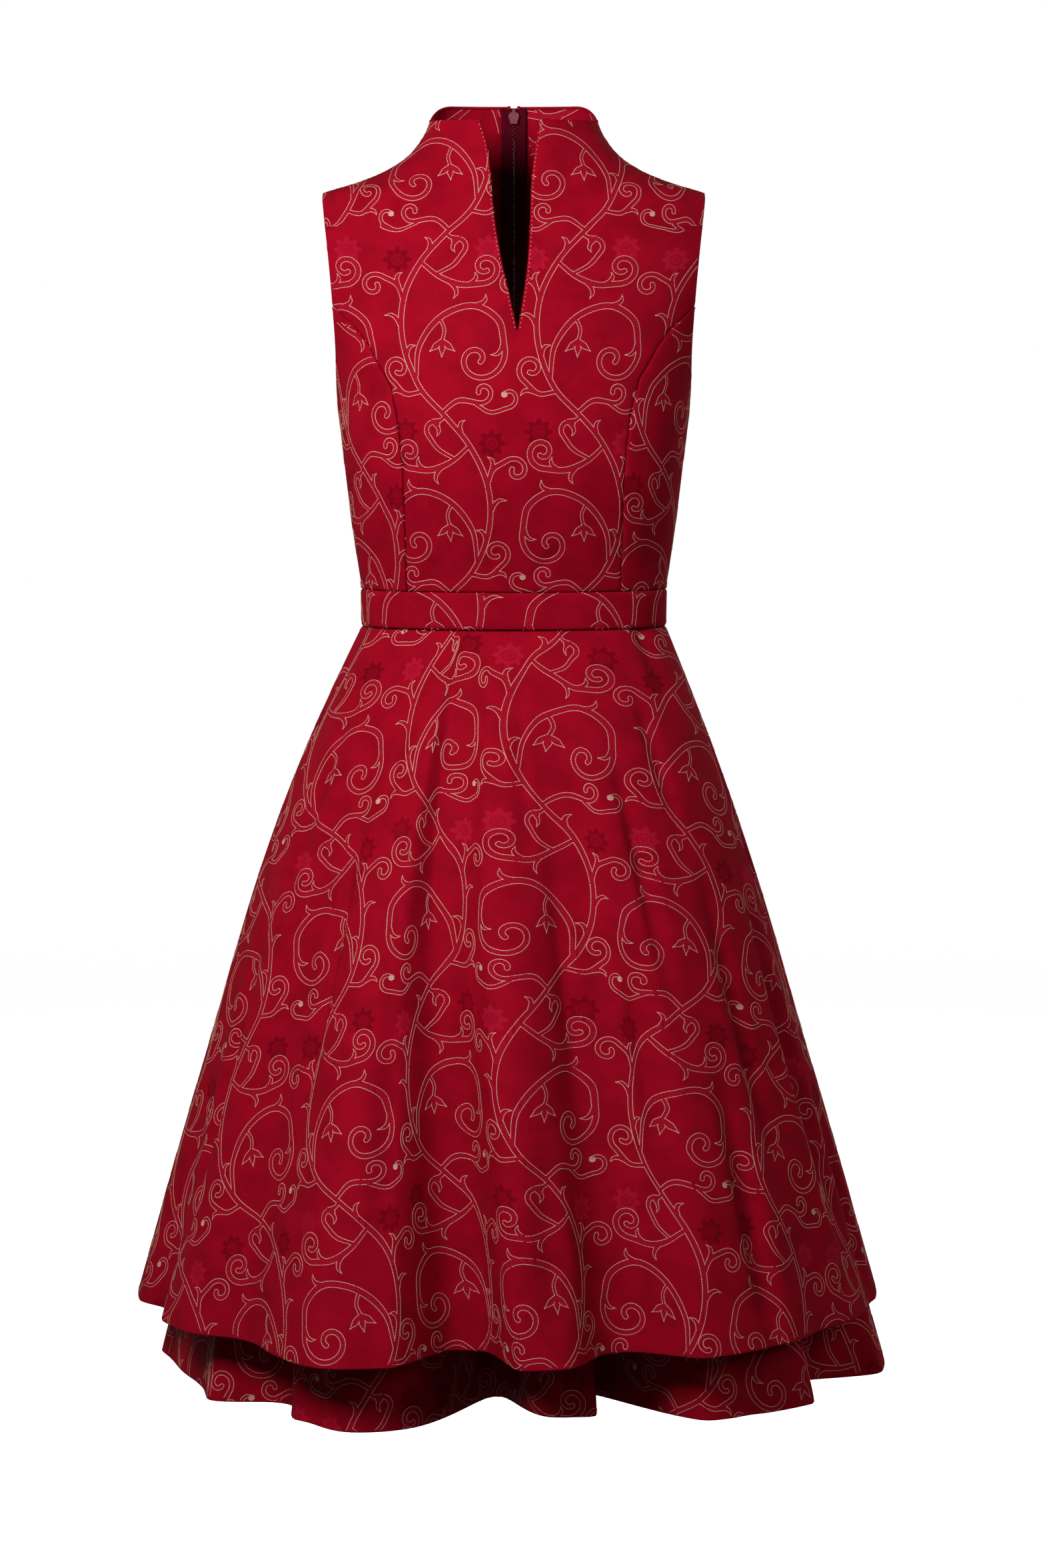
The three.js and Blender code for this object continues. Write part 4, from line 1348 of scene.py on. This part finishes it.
# Half a tooth's size: across, through and up
TOOTH = Vector((1.6, 0.6, 0.75))
SLIDER_LOW, SLIDER_HIGH = (Vector(corner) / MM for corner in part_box("zip_slider"))
SLIDER_TOP = SLIDER_HIGH.z - 3.2
TEETH_TOP = SLIDER_TOP - 16
TAB_LOW, TAB_HIGH = (Vector(corner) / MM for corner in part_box("zip_pull_tab"))


def tape_face(x, z):
    """The wearer's side of the zip tapes, inside the bodice's back and the skirt's under layer."""
    on_body = bodice_point("back", Ring(max(z, WAIST_TOP), "back").angle_at_x(x), max(z, WAIST_TOP))
    low = min(z, WAIST_BOTTOM)
    skirt = lower_face(math.pi - math.atan2(x, UPPER.reach(180, low)), low)
    share = smooth((z - WAIST_TOP + 4) / 16)
    y = mix(min(skirt.y, on_body.y) if z > WAIST_BOTTOM else skirt.y, on_body.y, share) - TAPE_DEPTH
    return Vector((x, y, z + on_body.z - max(z, WAIST_TOP)))


def zip_tape_cloth(side, word):
    cloth = Cloth(f"zip_tape_{word}_cloth")
    rows = level_rows(ZIP_END, COLLAR_TOP - 1.5, TAPE_ROW, BARE, BARE)
    span = (TAPE_EDGE, TAPE_WIDTH) if side > 0 else (-TAPE_WIDTH, -TAPE_EDGE)
    columns = even_columns(tape_face, lambda z: span, TAPE_COLUMNS, bare, bare)
    cloth.lay(tape_face, rows, columns, lambda x, z, point: (x, z))
    cloth.finish().piece(material("ribbed_tape"), f"zip_tape_{word}", slot="zip_tape")


def zip_teeth(pitch):
    """The closed row of teeth, hooked together from both sides."""
    bm = bmesh.new()
    count = int((TEETH_TOP - ZIP_END) / pitch)
    for i in range(count):
        side = 1 if i % 2 else -1
        place = tape_face(side * 0.75, ZIP_END + 3 + i * pitch)
        made = bmesh.ops.create_icosphere(bm, subdivisions=1, radius=1)["verts"]
        bmesh.ops.scale(bm, verts=made, vec=TOOTH * MM)
        bmesh.ops.translate(bm, verts=made, vec=(place + Vector((0, -0.45, 0))) * MM)
    for face in bm.faces:
        face.smooth = True
    mesh = bpy.data.meshes.new("zip_teeth")
    bm.to_mesh(mesh)
    mesh.materials.append(material("nylon_teeth"))
    settled("zip_teeth", mesh)


def slab(bm, corners, through, rounding, window=()):
    """A plate from its corners in order, the way through it and its rounded edges, with a window in it."""
    loops = [[bm.verts.new(corner * MM) for corner in loop] for loop in (corners, window) if loop]
    edges = [bm.edges.new(pair) for loop in loops for pair in zip(loop, loop[1:] + loop[:1])]
    if window:
        faces = bmesh.ops.bridge_loops(bm, edges=edges)["faces"]
    else:
        faces = bmesh.ops.contextual_create(bm, geom=edges)["faces"]
    made = bmesh.ops.extrude_face_region(bm, geom=faces)["geom"]
    moved = [part for part in made if isinstance(part, bmesh.types.BMVert)]
    bmesh.ops.translate(bm, verts=moved, vec=through * MM)
    shape = {face for vert in moved for edge in vert.link_edges for face in edge.link_faces} | set(faces)
    shape = [face for face in shape if face.is_valid]
    bmesh.ops.recalc_face_normals(bm, faces=shape)
    sharp = {edge for face in shape for edge in face.edges if edge.calc_face_angle(0) > 0.5}
    bmesh.ops.bevel(
        bm, geom=list(sharp), offset=rounding * MM, offset_type="OFFSET", affect="EDGES", segments=2,
        profile=0.5, material=-1, clamp_overlap=True,
    )


def metal_piece(bm, name, node, body):
    for face in bm.faces:
        face.smooth = len(face.verts) == 4 and face.calc_area() < 0.8e-6
    mesh = bpy.data.meshes.new(name)
    bm.to_mesh(mesh)
    mesh.materials.append(material("burgundy_lacquer"))
    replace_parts(settled(name, mesh, body), node)


def arc(middle, radius, start, end, count):
    turns = [math.radians(mix(start, end, i / count)) for i in range(count + 1)]
    return [(middle[0] + radius * math.cos(turn), middle[1] + radius * math.sin(turn)) for turn in turns]


def zip_slider():
    """The slider: a shield inside, a neck between the collar's ends, a slim plate and a bridge outside."""
    bm = bmesh.new()
    top, inner, outer = SLIDER_TOP, SLIDER_LOW.y, SLIDER_HIGH.y - 3
    half = [(3.1, -10.8), (3.35, -9.2), (3.7, -7.6), (4.45, -5.8)]
    half += [(4.7, -4.4), (4.65, -2.6), (4.0, -1.2), (2.4, 0)]
    shield = half + [(-x, z) for x, z in reversed(half)]
    slab(bm, [Vector((x, inner, top + z)) for x, z in shield], Vector((0, 2.4, 0)), 0.45)
    neck = [(-1.5, -0.4), (1.5, -0.4), (1.4, 1.6), (1.1, 2.6), (0, 3.2), (-1.1, 2.6), (-1.4, 1.6)]
    slab(bm, [Vector((x, inner + 0.4, top + z)) for x, z in neck], Vector((0, outer - inner - 0.8, 0)), 0.3)
    plate = [(2.2, -10.6), (2.2, 2.4), (1.4, 3.2), (-1.4, 3.2), (-2.2, 2.4), (-2.2, -10.6)]
    plate += [(-1.3, -11.3), (1.3, -11.3)]
    slab(bm, [Vector((x, outer - 0.8, top + z)) for x, z in plate], Vector((0, 0.8, 0)), 0.25)
    arch = [(-0.3, -0.8), (1.6, -0.8)] + arc((1.6, -2.2), 1.4, 90, 0, 3)[1:]
    arch += arc((1.6, -5.9), 1.4, 0, -90, 3)
    arch += [(-0.3, -7.3), (-0.3, -6.3), (1.5, -6.3), (2.0, -5.8), (2.0, -2.3), (1.5, -1.8), (-0.3, -1.8)]
    slab(bm, [Vector((-0.8, outer + y, top + z)) for y, z in arch], Vector((1.6, 0, 0)), 0.22)
    metal_piece(bm, "zip_slider_metal", "zip_slider", "dress")


def zip_pull_tab():
    """The pull tab, a tapered plate that hangs on the bridge by its window."""
    bm = bmesh.new()
    y, top = TAB_LOW.y, TAB_HIGH.z
    outer = [(2.3, -0.4), (2.45, -5), (2.9, -17.5)] + arc((0, -19), 2.9, 0, -180, 10)[1:-1]
    outer += [(-2.9, -17.5), (-2.45, -5), (-2.3, -0.4), (-1.6, 0), (1.6, 0)]
    window = [(1.35, -1.2), (1.35, -6.0), (1.0, -6.3), (-1.0, -6.3), (-1.35, -6.0), (-1.35, -1.2)]
    window += [(-1.0, -1.0), (1.0, -1.0)]
    loops = [[Vector((x, y, top + z)) for x, z in loop] for loop in (outer, window)]
    slab(bm, loops[0], Vector((0, 0.9, 0)), 0.2, loops[1])
    metal_piece(bm, "zip_pull_tab_metal", "zip_pull_tab", "pull_tab")


# How far the pick stitches lie from the slit's edge, and how far from its ends they stop
STITCH_INSET, STITCH_STOP = 1.7, 3


def slit_stitches(pitch):
    """Short pale pick stitches beside both edges of the slit."""
    stitches = Stitching("slit_stitches", Ground(bodice_front()))
    flat = bodice_cut("front")
    for side in (-1, 1):
        z = SLIT_BOTTOM + STITCH_STOP
        while z < COLLAR_TOP - STITCH_STOP:
            ends = []
            for height in (z, z + 0.5, z + 1.0):
                x = SLIT("shift", height) + side * (SLIT("half", height) + STITCH_INSET)
                point = front_face(Ring(height, "front").angle_at_x(x), height)
                ends.append(Vector(flat(0, height, point)))
            if all(stitches.there(end) for end in ends):
                stitches.thread(ends, 0.5)
            z += pitch * (1 + 0.15 * math.sin(z * 1.7))
    stitches.piece()


class DressCloth(bpy.types.PropertyGroup):
    ground: FloatVectorProperty(
        name="Ground", description="Colour of the sateen ground", subtype="COLOR", min=0, max=1,
        default=(0.27, 0.0022, 0.012),
    )
    bright: FloatVectorProperty(
        name="Dots", description="Colour of the bright dots in the scrolls", subtype="COLOR", min=0, max=1,
        default=(0.56, 0.014, 0.05),
    )
    thread: FloatVectorProperty(
        name="Outline", description="Colour of the raised outline thread", subtype="COLOR", min=0, max=1,
        default=(0.69, 0.39, 0.28),
    )
    outline: FloatProperty(
        name="Outline width", description="Width of the raised outline thread", unit="LENGTH",
        default=THREAD_WIDTH * MM,
    )
    weave: FloatProperty(
        name="Weave", description="Distance between two lines of the sateen's weave", unit="LENGTH",
        default=0.00055,
    )
    stitch: FloatProperty(
        name="Stitch spacing", description="Distance between two pick stitches along the slit",
        unit="LENGTH", default=0.0034,
    )


class DressZip(bpy.types.PropertyGroup):
    tape: FloatVectorProperty(
        name="Tape", description="Colour of the zip's tapes and teeth", subtype="COLOR", min=0, max=1,
        default=(0.075, 0.003, 0.009),
    )
    metal: FloatVectorProperty(
        name="Lacquer", description="Colour of the slider and its pull tab", subtype="COLOR", min=0, max=1,
        default=(0.17, 0.035, 0.055),
    )
    pitch: FloatProperty(
        name="Teeth", description="Distance between two teeth", unit="LENGTH", default=0.0013,
    )


class DressStage(bpy.types.PropertyGroup):
    floor: FloatVectorProperty(
        name="Floor", description="Colour of the floor", subtype="COLOR", min=0, max=1,
        default=(0.86, 0.86, 0.86),
    )
    key: FloatProperty(
        name="Key light", description="Power of the lamp in front, to the viewer's left",
        unit="POWER", min=0, default=31,
    )
    fill: FloatProperty(
        name="Fill light", description="Power of the lamp in front, to the viewer's right",
        unit="POWER", min=0, default=20,
    )
    back: FloatProperty(
        name="Back light", description="Power of the stronger of the two lamps behind",
        unit="POWER", min=0, default=40,
    )
    around: FloatProperty(
        name="Ambient", description="Brightness of the room around",
        subtype="FACTOR", min=0, max=1, default=0.07,
    )


def seen_inside_front(point):
    """The inside of the front shows at the open neck alone."""
    return point.z > -40


def seen_inside_back(point):
    """The inside of the back shows through the slit and the neck, beside the zip's tapes."""
    return point.z > -240 and 11 < abs(point.x) < 110


class DRESS_OT_bodice(bpy.types.Operator):
    """Lay the five bodice panels and weave their scrolls, also where the inside shows"""

    bl_idname = "dress.bodice"
    bl_label = "Bodice"

    def execute(self, context):
        laid = bodice_front()
        grounds = {"": Ground(laid), "_inside": Ground(laid, -1, seen_inside_front)}
        lay_panel(laid, "bodice_front", grounds)
        for side, word in ((1, "left"), (-1, "right")):
            laid = bodice_side(side, word)
            lay_panel(laid, f"bodice_side_{word}", {"": Ground(laid)})
            laid = bodice_back(side, word)
            grounds = {"": Ground(laid), "_inside": Ground(laid, -1, seen_inside_back)}
            lay_panel(laid, f"bodice_back_{word}", grounds)
        return {"FINISHED"}


# Each length of the band and of the skirt: where it starts and ends, where the skirt's cut is
# upright, and how many columns the band has
PLACES = {
    "front": (-math.pi / 2, math.pi / 2, 0.0, 60), "back_left": (math.pi / 2, math.pi, math.pi, 30),
    "back_right": (-math.pi, -math.pi / 2, -math.pi, 30),
}


class DRESS_OT_waistband(bpy.types.Operator):
    """Lay the three lengths of the waistband"""

    bl_idname = "dress.waistband"
    bl_label = "Waistband"

    def execute(self, context):
        for place, (start, end, _, count) in PLACES.items():
            node = f"waistband_{place}"
            laid = waistband(start, end, count, node)
            lay_panel(laid, node, {"": Ground(laid)})
        return {"FINISHED"}


def below_upper_hem(point):
    return point.z < UPPER_HEM + 30


class DRESS_OT_skirt(bpy.types.Operator):
    """Hang the skirt's two layers in their folds, the under layer with scrolls where it shows"""

    bl_idname = "dress.skirt"
    bl_label = "Skirt"

    def execute(self, context):
        layers = (("upper", upper_face, UPPER_HEM, None), ("lower", lower_face, LOWER_HEM, below_upper_hem))
        for place, (start, end, middle, _) in PLACES.items():
            for word, face, hem, where in layers:
                node = f"skirt_{word}_{place}"
                laid = skirt_panel(face, hem, start, end, middle, node)
                lay_panel(laid, node, {"": Ground(laid, 1, where)}, "hung", [f"waistband_{place}"])
        return {"FINISHED"}


class DRESS_OT_zip(bpy.types.Operator):
    """Make the zip: its tapes, its closed teeth, the slider and the pull tab"""

    bl_idname = "dress.zip"
    bl_label = "Zip"

    def execute(self, context):
        zip_tape_cloth(1, "left")
        zip_tape_cloth(-1, "right")
        zip_teeth(context.scene.dress_zip.pitch / MM)
        zip_slider()
        zip_pull_tab()
        return {"FINISHED"}


class DRESS_OT_stitches(bpy.types.Operator):
    """Sew the pick stitches beside the slit"""

    bl_idname = "dress.stitches"
    bl_label = "Stitches"

    def execute(self, context):
        slit_stitches(context.scene.dress_cloth.stitch / MM)
        return {"FINISHED"}


def soft_light(name, place, size, power, aim=(0, 0, -0.5)):
    """A square lamp that looks at a place. The lamps behind the dress leave no glare on its sides."""
    light = bpy.data.objects.new(name, bpy.data.lights.new(name, "AREA"))
    light.data.energy = power
    light.data.size = size
    light.visible_glossy = place[1] < 0
    light.location = place
    light.rotation_euler = (Vector(aim) - Vector(place)).to_track_quat("-Z", "Y").to_euler()
    bpy.context.scene.collection.objects.link(light)


def white_floor(radius=12):
    """A round floor, which neither lights the dress nor shows in its sheen."""
    bm = bmesh.new()
    bmesh.ops.create_circle(bm, cap_ends=True, segments=64, radius=radius)
    mesh = bpy.data.meshes.new("floor")
    bm.to_mesh(mesh)
    mesh.materials.append(material("pale_floor"))
    floor = bpy.data.objects.new("floor", mesh)
    floor.location.z = FLOOR * MM
    floor.visible_diffuse = False
    floor.visible_glossy = False
    bpy.context.scene.collection.objects.link(floor)


def front_camera():
    """A long lens in front of the dress, which looks down a little."""
    camera = bpy.data.objects.new("camera", bpy.data.cameras.new("camera"))
    camera.data.lens = 91.84
    camera.location = (0.0078, -3.6, -0.1833)
    camera.rotation_euler = (math.radians(90 - 5.485), 0, 0)
    bpy.context.scene.collection.objects.link(camera)
    bpy.context.scene.camera = camera


def white_room(strength):
    """A room that the camera sees as pure white, and that lights the dress only a little."""
    world = bpy.data.worlds.new("studio")
    world.use_nodes = True
    nodes, links = world.node_tree.nodes, world.node_tree.links
    room, white = nodes["Background"], nodes.new("ShaderNodeBackground")
    seen, either = nodes.new("ShaderNodeLightPath"), nodes.new("ShaderNodeMixShader")
    room.inputs["Color"].default_value = white.inputs["Color"].default_value = (1, 1, 1, 1)
    room.inputs["Strength"].default_value = strength
    links.new(seen.outputs["Is Camera Ray"], either.inputs[0])
    links.new(room.outputs[0], either.inputs[1])
    links.new(white.outputs[0], either.inputs[2])
    links.new(either.outputs[0], nodes["World Output"].inputs["Surface"])
    bpy.context.scene.world = world


class DRESS_OT_stage(bpy.types.Operator):
    """Set up the white floor, the white room, the soft lights and the camera"""

    bl_idname = "dress.stage"
    bl_label = "Stage"

    def execute(self, context):
        look = context.scene.dress_stage
        white_floor()
        front_camera()
        white_room(look.around)
        soft_light("key", (-0.8, -1.35, 0.35), 0.6, look.key, (0, 0, -0.1))
        soft_light("fill", (2.2, -1.5, 0.8), 1.5, look.fill, (0, 0, -0.2))
        soft_light("back_left", (1.8, 2.6, 0.9), 1.6, look.back)
        soft_light("back_right", (-2.2, 2.2, 0.4), 1.8, look.back / 2)
        context.scene.view_settings.view_transform = "Standard"
        return {"FINISHED"}


STEPS = (
    DRESS_OT_bodice, DRESS_OT_waistband, DRESS_OT_skirt, DRESS_OT_zip, DRESS_OT_stitches, DRESS_OT_stage,
)


class DRESS_PT_panel(bpy.types.Panel):
    bl_label = "Dress"
    bl_space_type = "VIEW_3D"
    bl_region_type = "UI"
    bl_category = "Dress"

    def draw(self, context):
        for name in SETTINGS:
            group = getattr(context.scene, name)
            box = self.layout.box()
            for prop in group.__annotations__:
                box.prop(group, prop)
        for step in STEPS:
            self.layout.operator(step.bl_idname)


SETTINGS = {"dress_cloth": DressCloth, "dress_zip": DressZip, "dress_stage": DressStage}


def register():
    for kind in (*SETTINGS.values(), *STEPS, DRESS_PT_panel):
        bpy.utils.register_class(kind)
    for name, kind in SETTINGS.items():
        setattr(bpy.types.Scene, name, PointerProperty(type=kind))


def unregister():
    for name in SETTINGS:
        delattr(bpy.types.Scene, name)
    for kind in reversed((*SETTINGS.values(), *STEPS, DRESS_PT_panel)):
        bpy.utils.unregister_class(kind)


def main():
    register()
    bpy.ops.dress.bodice()
    bpy.ops.dress.waistband()
    bpy.ops.dress.skirt()
    bpy.ops.dress.zip()
    bpy.ops.dress.stitches()
    bpy.ops.dress.stage()


if __name__ == "__main__":
    main()
